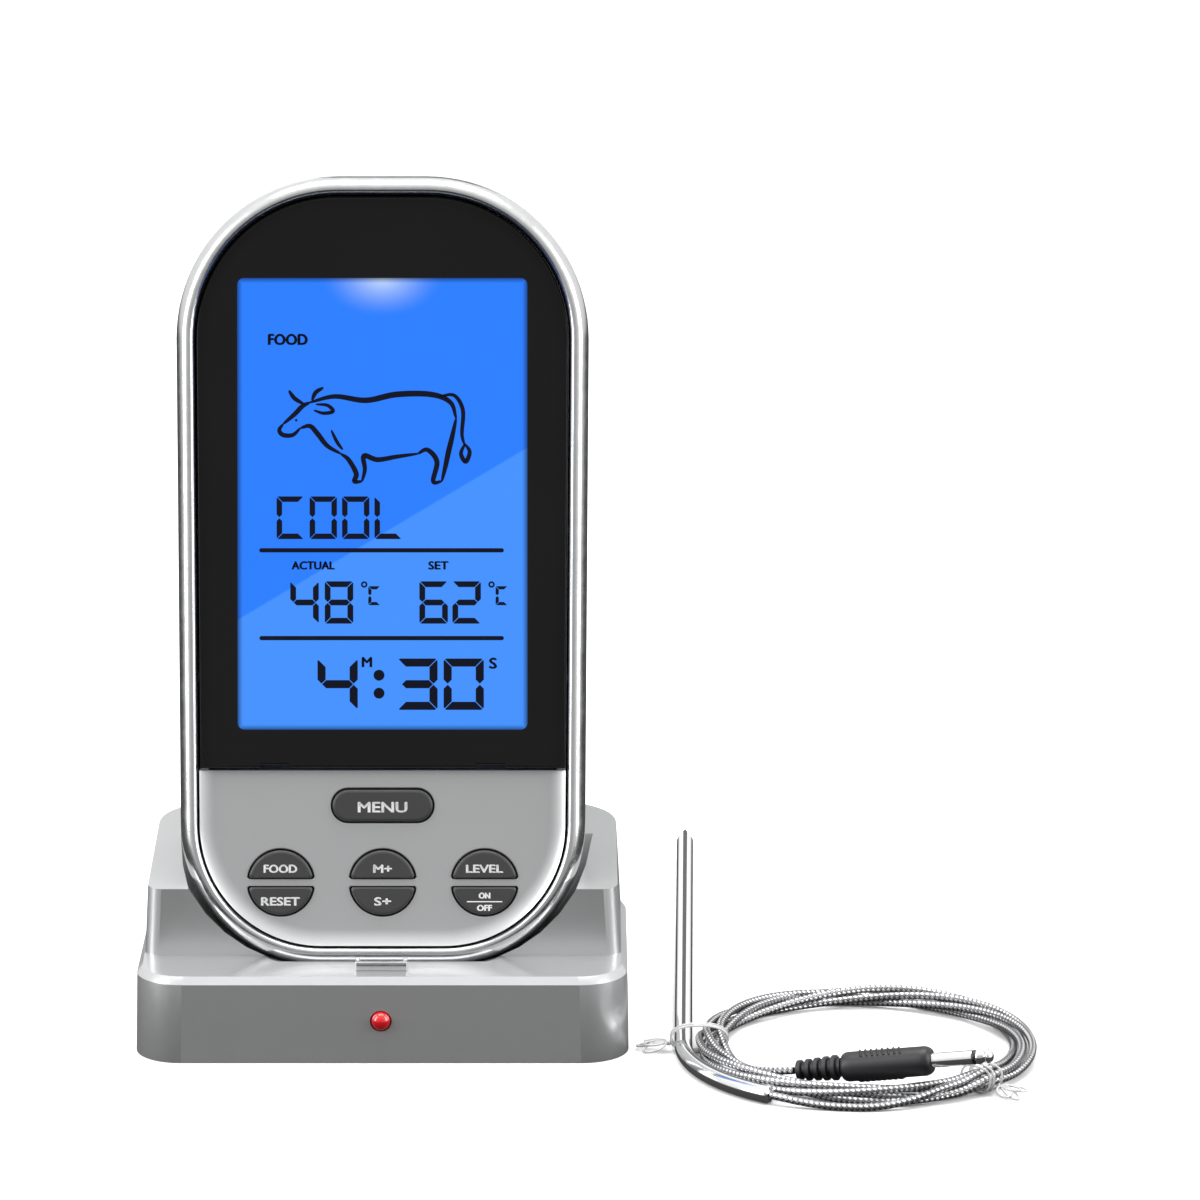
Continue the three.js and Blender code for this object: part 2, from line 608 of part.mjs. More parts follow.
function probeJack() {
  const face = DOCK_HALF_WIDTH - 0.35;
  const { y, z, barrel, bore, reach } = JACK;
  return combine(rod(point(face - 6, y, z), point(face, y, z), barrel, 18), {
    add: [box([face - 12.5, face - 5], [y - 3.6, y + 3.6], [z - 3.6, z + 3])],
    cut: [rod(point(face - reach, y, z), point(face + 1, y, z), bore, 14)],
  });
}

function powerSwitch() {
  const wallInside = -DOCK_HALF_WIDTH + DOCK_WALL;
  const { y, z, knob } = SWITCH;
  const across = [-DOCK_HALF_WIDTH - 0.6, wallInside + 1.6];
  const slider = box(across, [y - knob / 2, y + knob / 2], [z - 1.3, z + 1.3]);
  return combine(slider, {
    add: [box([wallInside + 0.7, wallInside + 1.6], [y - 3.4, y + 3.4], [z - 2.6, z + 2.6])],
  });
}

function dockAntenna() {
  const wave = Array.from({ length: 15 }, (_, i) => point(-29 + i * 2, -22.6 + (i % 2 ? 0.5 : -0.5), 10.6));
  return bar(new THREE.CatmullRomCurve3(wave), 0.3, 42, 6);
}

// ---- probe and lead -----------------------------------------------------------------------------------

// Round sections along a path of {at, along, radius}; up is a direction that the path never follows, and the
// flat ends are read in the plane's two coordinates.
function sleeve(stations, sides, { up = point(0, 0, 1), plane = ['x', 'z'] } = {}) {
  return loft(stations.map(({ at, along, radius }) => {
    const side = new THREE.Vector3().crossVectors(along, up).normalize();
    const lift = new THREE.Vector3().crossVectors(side, along).normalize();
    return Array.from({ length: sides }, (_, i) => {
      const angle = (2 * Math.PI * i) / sides;
      const [across, over] = [radius * Math.cos(angle), radius * Math.sin(angle)];
      return at.clone().addScaledVector(side, across).addScaledVector(lift, over);
    });
  }), { plane });
}

// The needle's centreline round the coil: straight from the tip, then a bend that follows the coil.
const BEND_START = Math.PI;
const needleWay = point(-NEEDLE_DRIFT, -NEEDLE_LENGTH, 0).normalize();
const bendPoint = (turn, height = NEEDLE_RADIUS) => point(
  NEEDLE_OFFSET * Math.cos(BEND_START + turn), NEEDLE_OFFSET * Math.sin(BEND_START + turn), height);
const bendWay = (turn) => point(-Math.sin(BEND_START + turn), Math.cos(BEND_START + turn), 0);

function needleStations(tipLength, radius, tipRadius, endGap) {
  const corner = point(-NEEDLE_OFFSET, 0, NEEDLE_RADIUS);
  const straight = (distance) => corner.clone().addScaledVector(needleWay, -distance);
  const stations = [
    { at: straight(NEEDLE_LENGTH - endGap), along: needleWay, radius: tipRadius },
    { at: straight(NEEDLE_LENGTH - endGap - tipLength * 0.25), along: needleWay, radius: radius * 0.42 },
    { at: straight(NEEDLE_LENGTH - endGap - tipLength), along: needleWay, radius },
    { at: straight(4), along: needleWay, radius },
  ];
  const bends = 14;
  for (let i = 1; i <= bends; i += 1) {
    const turn = (NEEDLE_BEND * i) / bends;
    stations.push({ at: bendPoint(turn), along: bendWay(turn), radius });
  }
  return stations;
}

function probeNeedle() {
  const outside = sleeve(needleStations(NEEDLE_TIP, NEEDLE_RADIUS, 0.1, 0), 12);
  const bore = needleStations(4, NEEDLE_BORE, 0.2, NEEDLE_TIP - 2);
  const past = NEEDLE_BEND + 0.02;
  bore.push({ at: bendPoint(past), along: bendWay(past), radius: NEEDLE_BORE });
  return toGeometry(toSolid(outside).subtract(toSolid(sleeve(bore, 10))));
}

// The temperature sensor: a bead inside the needle, near its tip.
function thermistor() {
  const start = needleStations(0, 0.7, 0.7, NEEDLE_TIP + 4)[0].at;
  return rod(start, start.clone().addScaledVector(needleWay, 4), 0.7, 10);
}

// The lead between the needle's end and the coil, as points round the coil: [turn in degrees, radius, height].
const LEAD_IN = [
  [237.2, 31, 1.5], [241, 30.95, 1.45], [246, 30.7, 1.15], [252, 30.35, 0.85], [258, 30.05, 0.68],
  [264, 29.92, 0.66],
];

function aroundCoil([turn, radius, height]) {
  const angle = THREE.MathUtils.degToRad(turn);
  return point(radius * Math.cos(angle), radius * Math.sin(angle), height);
}

const leadIn = () => bar(new THREE.CatmullRomCurve3(LEAD_IN.map(aroundCoil)), CABLE_RADIUS, 8);

function cableCoil() {
  const { inner, outer, height } = COIL;
  const cut = 0.7;
  const profile = [[inner, cut], [inner + cut, 0], [outer - cut, 0], [outer, cut], [outer, height - cut],
    [outer - cut, height], [inner + cut, height], [inner, height - cut], [inner, cut]];
  return new THREE.LatheGeometry(profile.map(([r, z]) => new THREE.Vector2(r, z)), 48).rotateX(Math.PI / 2);
}

// The lead from the coil's inside to the plug, as points from the middle of the coil.
const TAIL = [[-22.45, -6.1, 0.66], [-21.3, -8.6, 0.7], [-19.5, -11.2, 0.95], [-17.3, -13.4, 1.45],
  [-14.9, -15.1, 2], [-12.75, -16.05, 2.38]];

const tail = () => bar(new THREE.CatmullRomCurve3(TAIL.map((p) => point(...p))), CABLE_RADIUS, 8);

// Twist ties: a wire over the bundle, at an angle round the coil, from one radius to another.
function twistTie(turn, inner, outer) {
  const crown = COIL.height + GAP + TIE_WIRE;
  const arch = [[outer, 0.4], [outer, crown - 1.8], [outer - 0.6, crown - 0.6], [outer - 2, crown + 0.05],
    [(inner + outer) / 2, crown + 0.1], [inner + 2, crown + 0.05], [inner + 0.6, crown - 0.6],
    [inner, crown - 1.8], [inner, 0.4]];
  const curve = new THREE.CatmullRomCurve3(arch.map(([r, z]) => aroundCoil([turn, r, z])));
  const steps = 24;
  const stations = Array.from({ length: steps + 1 }, (_, i) => ({
    at: curve.getPointAt(i / steps), along: curve.getTangentAt(i / steps), radius: TIE_WIRE,
  }));
  const angle = THREE.MathUtils.degToRad(turn);
  return sleeve(stations, 6, { up: point(-Math.sin(angle), Math.cos(angle), 0), plane: ['x', 'y'] });
}

// ---- plug: along +X from where the cable enters ----------------------------------------------------------

const RELIEF_LENGTH = 8;
const PLUG_BODY_END = 24;
const PIN_END = 34.5;

function strainRelief() {
  const profile = [[0, 0]];
  for (let rib = 0; rib < 4; rib += 1) {
    const start = rib * 1.9;
    profile.push([start, 2.2], [start + 0.9, 2.2], [start + 1, 1.6], [start + 1.8, 1.6]);
  }
  profile.push([RELIEF_LENGTH, 1.6], [RELIEF_LENGTH, 0]);
  return turned(profile, 14);
}

function plugBody() {
  const start = RELIEF_LENGTH + GAP;
  const blank = turned([[start, 0], [start, 2.1], [start + 0.4, 2.5], [PLUG_BODY_END - 0.5, 2.5],
    [PLUG_BODY_END, 2.2], [PLUG_BODY_END, 0]], 20);
  return combine(blank, { cut: [turned([[20, 0], [20, 1.55], [25, 1.55], [25, 0]], 14)] });
}

// A mono plug's pin: a sleeve, a waist for the insulating ring, and a rounded tip with a neck.
function plugPin() {
  return turned([[20.3, 0], [20.3, 1.25], [31, 1.25], [31, 0.6], [31.7, 0.6], [31.7, 1.25], [32.3, 1.25],
    [33, 0.9], [33.6, 1.2], [PIN_END, 0.5], [PIN_END, 0]], 14);
}

function plugInsulator() {
  return combine(turned([[31.1, 0], [31.1, 1.15], [31.6, 1.15], [31.6, 0]], 14), {
    cut: [turned([[30, 0], [30, 0.75], [33, 0.75], [33, 0]], 14)],
  });
}

// ---- the assembly -------------------------------------------------------------------------------------

piece(unit, 'rim_trim', rimTrim(), CHROME);
piece(unit, 'front_housing', frontHousing(), SILVER);
piece(unit, 'display_lens', displayLens(), BLACK_GLASS);
piece(unit, 'lcd_panel', lcdPanel(), LCD_BLUE);
piece(unit, 'backlight', backlight(), DIFFUSER_WHITE);
piece(unit, 'unit_board', unitBoard(), BOARD_GREEN);
piece(unit, 'button_keypad', buttonKeypad(), RUBBER_GREY);
BUTTONS.forEach((each) => piece(unit, each.name, button(each), KEY_GREY));
piece(unit, 'rear_housing', rearHousing(), SILVER);
piece(unit, 'unit_battery_door', unitBatteryDoor(), SILVER);
piece(unit, 'fold_out_stand', foldOutStand(), SILVER);
piece(unit, 'stand_pin', standPin(), STEEL);
piece(unit, 'buzzer', buzzer(), BLACK_PLASTIC);
piece(unit, 'unit_antenna', unitAntenna(), BRASS);

[1, 2].forEach((number) => {
  const side = number === 1 ? -1 : 1;
  const z = UNIT_BAY.z + (side * UNIT_BAY.pitch) / 2;
  const turn = number === 1 ? 0 : Math.PI;
  piece(unit, `unit_cell_${number}`, cell().rotateY(turn).translate(0, UNIT_BAY.depth, z), CELL_JACKET);
});
const [bayLow, bayHigh] = [UNIT_BAY.z - UNIT_BAY.pitch + 0.6, UNIT_BAY.z + UNIT_BAY.pitch - 0.6];
piece(unit, 'unit_contact_bridge', contact(23.9, -1, [11, 19], [bayLow, bayHigh]), SPRING_STEEL);
piece(unit, 'unit_contact_pair', contact(-23.9, 1, [11, 19], [bayLow, bayHigh]), SPRING_STEEL);
UNIT_SCREWS.forEach((at, i) => piece(unit, `unit_screw_${i + 1}`, unitScrew(at), STEEL));

piece(group, 'dock_shell', dockShell(), SILVER);
piece(group, 'dock_bottom_cover', dockBottomCover(), BLACK_PLASTIC);
piece(group, 'dock_battery_door', dockBatteryDoor(), SILVER);
piece(group, 'retaining_tab', retainingTab(), CHROME);
piece(group, 'status_led', statusLed(), LED_RED);
piece(group, 'dock_board', dockBoard(), BOARD_GREEN);
piece(group, 'probe_jack', probeJack(), BLACK_PLASTIC);
piece(group, 'power_switch', powerSwitch(), BLACK_PLASTIC);
piece(group, 'dock_antenna', dockAntenna(), BRASS);
DOCK_BAY.z.forEach((z, i) => {
  piece(group, `dock_cell_${i + 1}`, cell().rotateY(i ? Math.PI : 0).translate(0, DOCK_BAY.y, z), CELL_JACKET);
});
piece(group, 'dock_contact_bridge', contact(DOCK_BAY.halfWidth, -1, [14, 22.6], [3.2, 22.4]), SPRING_STEEL);
piece(group, 'dock_contact_pair', contact(-DOCK_BAY.halfWidth, 1, [14, 22.6], [3.2, 22.4]), SPRING_STEEL);
DOCK_FEET.forEach((at, i) => piece(group, `dock_foot_${i + 1}`, dockFoot(at), RUBBER_BLACK));
DOCK_SCREWS.forEach((at, i) => piece(group, `dock_screw_${i + 1}`, dockScrew(at), STEEL));

piece(lead, 'probe_needle', probeNeedle(), STEEL);
piece(lead, 'thermistor', thermistor(), BLACK_PLASTIC);
piece(lead, 'cable_lead_in', leadIn(), BRAID_STEEL);
piece(lead, 'cable_coil', cableCoil(), BRAID_STEEL);
piece(lead, 'cable_tail', tail(), BRAID_STEEL);
piece(lead, 'twist_tie_1', twistTie(178, 23.4, 33.4), TIE_CLEAR);
piece(lead, 'twist_tie_2', twistTie(-45, 23.4, 29.8), TIE_CLEAR);
piece(plug, 'strain_relief', strainRelief(), BLACK_PLASTIC);
piece(plug, 'plug_body', plugBody(), BLACK_PLASTIC);
piece(plug, 'plug_pin', plugPin(), STEEL);
piece(plug, 'plug_insulator', plugInsulator(), BLACK_PLASTIC);

export default group;
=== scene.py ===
"""Looks for the wireless meat thermometer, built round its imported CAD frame.

Lengths in the tables and outlines below are millimetres, and become metres where a mesh is made. The pieces
of the display unit are drawn upright in a frame of their own, X across, Y into the unit's depth and Z up from
its lowest point, and one matrix leans them back into the dock.
"""

from functools import partial
from math import asin, copysign, cos, degrees, pi, radians, sin, sqrt

import bmesh
import bpy
from mathutils import Matrix, Vector
from mathutils.geometry import tessellate_polygon


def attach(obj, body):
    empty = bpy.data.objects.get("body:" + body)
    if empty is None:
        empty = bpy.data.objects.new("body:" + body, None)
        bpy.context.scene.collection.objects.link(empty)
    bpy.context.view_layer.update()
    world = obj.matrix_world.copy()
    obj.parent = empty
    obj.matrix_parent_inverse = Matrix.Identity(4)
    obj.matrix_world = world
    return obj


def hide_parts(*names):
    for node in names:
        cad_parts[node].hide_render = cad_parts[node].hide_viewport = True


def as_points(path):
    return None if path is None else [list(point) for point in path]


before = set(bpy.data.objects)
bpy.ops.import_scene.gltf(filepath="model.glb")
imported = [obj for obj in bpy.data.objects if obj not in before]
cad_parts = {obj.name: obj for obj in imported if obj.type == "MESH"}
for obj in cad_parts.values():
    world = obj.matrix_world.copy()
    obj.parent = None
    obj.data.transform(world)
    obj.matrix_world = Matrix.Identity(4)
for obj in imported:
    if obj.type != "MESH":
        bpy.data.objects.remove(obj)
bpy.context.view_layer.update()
scene = bpy.context.scene

MM = 0.001
ALIGNED = 0.99999      # cosine of the angle within which two directions are the same

# ---- the display unit's driving dimensions, as the CAD has them ----

UNIT_HEIGHT = 134
HALF_TOP, TOP_RADIUS = 35, 27.5
HALF_BOTTOM, BOTTOM_RADIUS = 34.4, 24
UNIT_FOOT = (0, -15, 13.6)
UNIT_LEAN = 13
UNIT = Matrix.Translation(Vector(UNIT_FOOT) * MM) @ Matrix.Rotation(radians(-UNIT_LEAN), 4, "X")

RIM_WIDTH, RIM_DEPTH = 3.1, 9.5
PANEL_INSET, PANEL_FACE, PANEL_BACK = 3.4, 1.5, 3.6
PANEL_TOP = 33.2
LENS_BOTTOM, LENS_FACE, LENS_BACK = 33.5, 1.35, 2.55
SCREEN_HALF, SCREEN_BOTTOM, SCREEN_TOP = 24.6, 40.1, 116.7
WINDOW_RADIUS = 1.2      # of the screen's corners
BUTTON_FACE, BUTTON_BACK = 0.9, 3.9
MODE_Z, MODE_WIDTH, MODE_HEIGHT = 27.2, 17, 5.4
SPLIT_Z, SPLIT_RADIUS, SPLIT_SLOT, SPLIT_SPACING = 14.1, 5.5, 1.5, 17.3

# ---- the probe's and the lead's ----

COIL_X, COIL_Y = 82, -21
COIL = Matrix.Translation(Vector((COIL_X, COIL_Y, 0)) * MM)
NEEDLE_RADIUS, NEEDLE_OFFSET, NEEDLE_LENGTH, NEEDLE_DRIFT = 1.5, 31, 126.5, 1.9
NEEDLE_TIP = 6           # length of the ground point
NEEDLE_BEND = 56         # degrees round the coil
CABLE_RADIUS = 0.65
PLUG = (
    Matrix.Translation(Vector((COIL_X - 12.3, COIL_Y - 16.2, 2.45)) * MM)
    @ Matrix.Rotation(radians(-19), 4, "Z")
    @ Matrix.Rotation(radians(-10.5), 4, "Y")
)


# ---- outlines ----


def arc(centre, radii, start, end, steps=24):
    """Points of an elliptical arc between two angles in degrees."""
    angles = [radians(start + (end - start) * i / steps) for i in range(steps + 1)]
    return [(centre[0] + radii[0] * cos(a), centre[1] + radii[1] * sin(a)) for a in angles]


def unit_outline(inset):
    """The display unit's outline from the front, drawn in by inset."""
    low, top = BOTTOM_RADIUS - inset, TOP_RADIUS - inset
    low_x, top_x, top_z = HALF_BOTTOM - BOTTOM_RADIUS, HALF_TOP - TOP_RADIUS, UNIT_HEIGHT - TOP_RADIUS
    return (
        arc((low_x, BOTTOM_RADIUS), (low, low), -90, 0)
        + arc((top_x, top_z), (top, top), 0, 90)
        + arc((-top_x, top_z), (top, top), 90, 180)
        + arc((-low_x, BOTTOM_RADIUS), (low, low), 180, 270)
    )


def side_at(height, inset):
    """Half the outline's width at a height on its straight sides."""
    rise = UNIT_HEIGHT - TOP_RADIUS - BOTTOM_RADIUS
    return HALF_BOTTOM - inset + (HALF_TOP - HALF_BOTTOM) * (height - BOTTOM_RADIUS) / rise


def panel_outline(inset):
    """The outline below the panel's straight top edge."""
    side = side_at(PANEL_TOP, inset)
    low = BOTTOM_RADIUS - inset
    low_x = HALF_BOTTOM - BOTTOM_RADIUS
    return (
        [(side, PANEL_TOP)]
        + arc((low_x, BOTTOM_RADIUS), (low, low), 0, -90, 30)
        + arc((-low_x, BOTTOM_RADIUS), (low, low), 270, 180, 30)
        + [(-side, PANEL_TOP)]
    )


def window_outline(grow):
    return rounded_rectangle(-SCREEN_HALF - grow, SCREEN_HALF + grow, SCREEN_BOTTOM - grow, SCREEN_TOP + grow,
                             WINDOW_RADIUS + grow)


def lens_outline(inset):
    """The outline above the lens's straight lower edge, which has a shallow notch near each end."""
    low = LENS_BOTTOM + max(inset - PANEL_INSET - 0.05, 0)
    side, top = side_at(low, inset), TOP_RADIUS - inset
    top_x, top_z = HALF_TOP - TOP_RADIUS, UNIT_HEIGHT - TOP_RADIUS
    near, far, deep = 15.8, 20.8, 0.45
    notch = [(far, low), (far, low + deep), (near, low + deep), (near, low)]
    return (
        [(-x, z) for x, z in notch]
        + notch[::-1]
        + [(side, low)]
        + arc((top_x, top_z), (top, top), 0, 90, 36)
        + arc((-top_x, top_z), (top, top), 90, 180, 36)
        + [(-side, low)]
    )


def rounded_rectangle(x0, x1, z0, z1, radius, steps=8):
    return (
        arc((x1 - radius, z0 + radius), (radius, radius), -90, 0, steps)
        + arc((x1 - radius, z1 - radius), (radius, radius), 0, 90, steps)
        + arc((x0 + radius, z1 - radius), (radius, radius), 90, 180, steps)
        + arc((x0 + radius, z0 + radius), (radius, radius), 180, 270, steps)
    )


def stadium(grow):
    half, rise = MODE_WIDTH / 2 + grow, MODE_HEIGHT / 2 + grow
    return rounded_rectangle(-half, half, MODE_Z - rise, MODE_Z + rise, rise - 0.01, 14)


def half_disc(x, side, grow):
    """Half a disc above (side 1) or below (side -1) a round button's slot, its two points blunt."""
    rounding = 0.35
    edge, radius = (SPLIT_SLOT - grow) / 2, SPLIT_RADIUS + grow
    start = degrees(asin((edge + rounding) / radius))
    rim = arc((0, 0), (radius, radius), start, 180 - start, 40)
    corner = sqrt(radius**2 - (edge + rounding) ** 2) - rounding * 0.8
    loop = [(corner, edge)] + rim + [(-corner, edge)]
    return [(x + px, SPLIT_Z + side * pz) for px, pz in loop]


# ---- meshes ----


class Solid:
    """The points and faces of one piece, in millimetres."""

    def __init__(self):
        self.points, self.faces, self.uvs = [], [], None

    def ring(self, points):
        start = len(self.points)
        self.points += [tuple(p) for p in points]
        return list(range(start, len(self.points)))

    def skin(self, rings, closed=False):
        pairs = list(zip(rings, rings[1:]))
        if closed:
            pairs.append((rings[-1], rings[0]))
        for a, b in pairs:
            for i in range(len(a)):
                j = (i + 1) % len(a)
                self.faces.append((a[i], a[j], b[j], b[i]))
        return self

    def cap(self, *loops):
        """Fills a flat outline in X and Z, with any holes in it."""
        if len(loops) == 1 and len(loops[0]) <= 4:
            self.faces.append(tuple(loops[0]))
            return self
        flats = [[Vector((self.points[i][0], self.points[i][2], 0)) for i in loop] for loop in loops]
        index = [i for loop in loops for i in loop]
        self.faces += [tuple(index[k] for k in tri) for tri in tessellate_polygon(flats)]
        return self

    def block(self, rings):
        """Skins rings, and caps the first and the last."""
        return self.skin(rings).cap(rings[0]).cap(rings[-1])

    def profile(self, outline, stations):
        """Rings of an outline at (inset or grow, depth) stations."""
        return [self.ring([(x, depth, z) for x, z in outline(inset)]) for inset, depth in stations]

    def mesh(self, name):
        mesh = bpy.data.meshes.new(name)
        mesh.from_pydata([Vector(p) * MM for p in self.points], [], self.faces)
        mesh.update()
        if self.uvs:
            layer = mesh.uv_layers.new(name="along")
            for loop, uv in zip(layer.data, self.uvs):
                loop.uv = uv
        return mesh


def smooth_by_angle(mesh, angle):
    """Smooth shading, flat on faces across Y, with edges that turn by more than an angle kept sharp."""
    bm = bmesh.new()
    bm.from_mesh(mesh)
    bmesh.ops.remove_doubles(bm, verts=bm.verts, dist=1e-7)
    bmesh.ops.recalc_face_normals(bm, faces=bm.faces)
    limit = radians(angle)
    for face in bm.faces:
        face.smooth = abs(face.normal.y) < ALIGNED
    for edge in bm.edges:
        edge.smooth = len(edge.link_faces) == 2 and edge.calc_face_angle(0) < limit
    bm.to_mesh(mesh)
    bm.free()


def add_object(name, data):
    obj = bpy.data.objects.new(name, data)
    scene.collection.objects.link(obj)
    return obj


def add_piece(name, solid, body, look, place, replaces=(), sharp=40, weighted=True):
    """A finished piece that rides on a body and stands for the CAD node of its own name, or for those named.

    Its look is a material, or the record's slot that it takes its finish from.
    """
    mesh = solid.mesh(name)
    smooth_by_angle(mesh, sharp)
    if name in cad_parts:
        replaces = [name]
        name += "_surface"
    obj = add_object(name, mesh)
    obj.matrix_world = place
    mesh.materials.append(LOOKS[look] if look in LOOKS else look)
    if weighted:
        obj.modifiers.new("even_normals", "WEIGHTED_NORMAL").keep_sharp = True
    if replaces:
        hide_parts(*replaces)
    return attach(obj, body)


def circle(sides):
    """The angles of evenly spaced points round a circle."""
    return [2 * pi * i / sides for i in range(sides)]


def round_rings(solid, profile, sides=48):
    """Rings round X, from [distance along X, radius] points."""
    return [solid.ring([(along, radius * cos(a), radius * sin(a)) for a in circle(sides)])
            for along, radius in profile]


def turned(profile, sides=48):
    """A solid turned round X, from [distance along X, radius] points that start and end on the axis."""
    solid = Solid()
    rings = round_rings(solid, profile[1:-1], sides)
    solid.skin(rings)
    for ring, (along, _) in ((rings[0], profile[0]), (rings[-1], profile[-1])):
        tip = solid.ring([(along, 0, 0)])[0]
        solid.faces += [(ring[i], ring[(i + 1) % sides], tip) for i in range(sides)]
    return solid


def smooth_path(points, per_span, closed=False):
    """A Catmull-Rom line through points."""
    points = [Vector(p) for p in points]
    count = len(points)
    spans = count if closed else count - 1
    line = []
    for s in range(spans):
        if closed:
            a, b, c, d = (points[(s + k) % count] for k in (-1, 0, 1, 2))
        else:
            b, c = points[s], points[s + 1]
            a = points[s - 1] if s else b * 2 - c
            d = points[s + 2] if s + 2 < count else c * 2 - b
        for i in range(per_span):
            t = i / per_span
            bend = (2 * a - 5 * b + 4 * c - d) * t**2
            line.append(0.5 * (2 * b + (c - a) * t + bend + (3 * b - 3 * c + d - a) * t**3))
    return line if closed else line + [points[-1]]


def tube(path, radius, sides=12, closed=False):
    """A round bar along a path, with its length along U in millimetres and its turn round V."""
    solid = Solid()
    count = len(path)
    normal = None
    rings, lengths, run = [], [], 0
    for k, p in enumerate(path):
        before = path[k - 1] if k or closed else p
        after = path[(k + 1) % count] if k + 1 < count or closed else p
        way = (after - before).normalized()
        if normal is None:
            normal = way.cross(Vector((0, 0, 1) if abs(way.z) < 0.9 else (1, 0, 0))).normalized()
        normal = (normal - way * normal.dot(way)).normalized()
        lift = way.cross(normal)
        rings.append(solid.ring([p + (normal * cos(a) + lift * sin(a)) * radius
                                 for a in circle(sides)]))
        run += (p - path[k - 1]).length if k else 0
        lengths.append(run)
    solid.skin(rings, closed)
    uvs = []
    for k in range(len(rings) - (0 if closed else 1)):
        u0 = lengths[k]
        u1 = lengths[k + 1] if k + 1 < count else u0 + (path[0] - path[-1]).length
        for i in range(sides):
            v0, v1 = i / sides, (i + 1) / sides
            uvs += [(u0, v0), (u0, v1), (u1, v1), (u1, v0)]
    if not closed:
        for ring in (rings[0], rings[-1]):
            solid.faces.append(tuple(ring))
            uvs += [(0, 0)] * sides
    solid.uvs = uvs
    return solid


# ---- materials ----


class Look:
    """A material with a Principled shader, and short ways to add nodes in front of it."""

    def __init__(self, name, **settings):
        self.material = bpy.data.materials.new(name)
        self.material.use_nodes = True
        self.tree = self.material.node_tree
        self.shader = self.tree.nodes["Principled BSDF"]
        self.place = self.add("ShaderNodeTexCoord").outputs["Object"]
        for key, value in settings.items():
            self.set(key.replace("_", " ").title().replace("Ior", "IOR"), value)

    def add(self, kind, values=(), **settings):
        made = self.tree.nodes.new(kind)
        for key, value in settings.items():
            setattr(made, key, value)
        for key, value in dict(values).items():
            self.put(made.inputs[key], value)
        return made

    def put(self, entry, value):
        """Links another node's output to an input, or sets the input's own value."""
        if isinstance(value, bpy.types.NodeSocket):
            self.tree.links.new(value, entry)
        else:
            entry.default_value = (*value, 1) if entry.type == "RGBA" else value

    def set(self, key, value):
        self.put(self.shader.inputs[key], value)

    def noise(self, scale, detail=2, where=None, rough=0.5):
        made = self.add(
            "ShaderNodeTexNoise",
            {"Vector": where or self.place, "Scale": scale, "Detail": detail, "Roughness": rough},
        )
        return made.outputs["Fac"]

    def stretched(self, scale):
        """Object coordinates stretched by a factor on each axis."""
        return self.add("ShaderNodeMapping", {"Vector": self.place, "Scale": scale}).outputs["Vector"]

    def span(self, value, low, high, from_low=0, from_high=1):
        """A value moved from one range to another, and held inside it."""
        made = self.add(
            "ShaderNodeMapRange",
            {"Value": value, "From Min": from_low, "From Max": from_high, "To Min": low, "To Max": high},
        )
        return made.outputs["Result"]

    def math(self, operation, a, b=0.0):
        return self.add("ShaderNodeMath", {0: a, 1: b}, operation=operation).outputs[0]

    def times(self, a, b):
        return self.math("MULTIPLY", a, b)

    def plus(self, a, b):
        return self.math("ADD", a, b)

    def minus(self, a, b):
        return self.math("SUBTRACT", a, b)

    def axes(self):
        return self.add("ShaderNodeSeparateXYZ", {"Vector": self.place}).outputs

    def mix(self, factor, a, b):
        return self.add("ShaderNodeMix", {0: factor, 6: a, 7: b}, data_type="RGBA").outputs[2]

    def colour(self, factor, a, b):
        self.set("Base Color", self.mix(factor, a, b))

    def bump(self, height, strength, distance):
        made = self.add("ShaderNodeBump", {"Height": height, "Strength": strength, "Distance": distance})
        self.set("Normal", made.outputs["Normal"])


def shade(colour, factor):
    return tuple(min(1.0, c * factor) for c in colour)


def silver_paint(name, base):
    """Satin silver paint: fine flake in the colour, orange peel in the surface."""
    look = Look(name, metallic=0.68, coat_weight=0.35, coat_roughness=0.12)
    flake = look.noise(5200, 2, rough=0.7)
    cloud = look.noise(60, 3)
    tone = look.plus(look.times(flake, 0.6), look.times(cloud, 0.4))
    look.colour(tone, shade(base, 0.94), shade(base, 1.06))
    look.set("Roughness", look.span(look.noise(900, 3), 0.26, 0.36))
    look.bump(look.noise(1100), 0.05, 0.00004)
    return look.material


def polished(name, base, low, high, grain=(40, 1400, 1400)):
    """Bright metal with faint lines of polish along X of the piece."""
    look = Look(name, metallic=1.0, base_color=base)
    lines = look.noise(1, 3, look.stretched(grain), 0.6)
    look.colour(lines, shade(base, 0.92), shade(base, 1.05))
    look.set("Roughness", look.span(lines, low, high, 0.3, 0.7))
    look.bump(lines, 0.05, 0.00002)
    return look.material


def plastic(name, base, roughness, grain, strength):
    """Moulded plastic or rubber with a fine spark-eroded texture."""
    look = Look(name)
    fine, broad = look.noise(grain, 3), look.noise(140)
    look.colour(broad, shade(base, 0.88), shade(base, 1.12))
    look.set("Roughness", look.span(fine, roughness - 0.05, roughness + 0.07))
    look.bump(fine, strength, 0.00004)
    return look.material


def lens_black():
    look = Look("lens_black", specular_ior_level=0.16)
    look.colour(look.noise(35), (0.0055, 0.0055, 0.0058), (0.0080, 0.0080, 0.0084))
    look.set("Roughness", look.span(look.noise(300, 3), 0.06, 0.12))
    return look.material


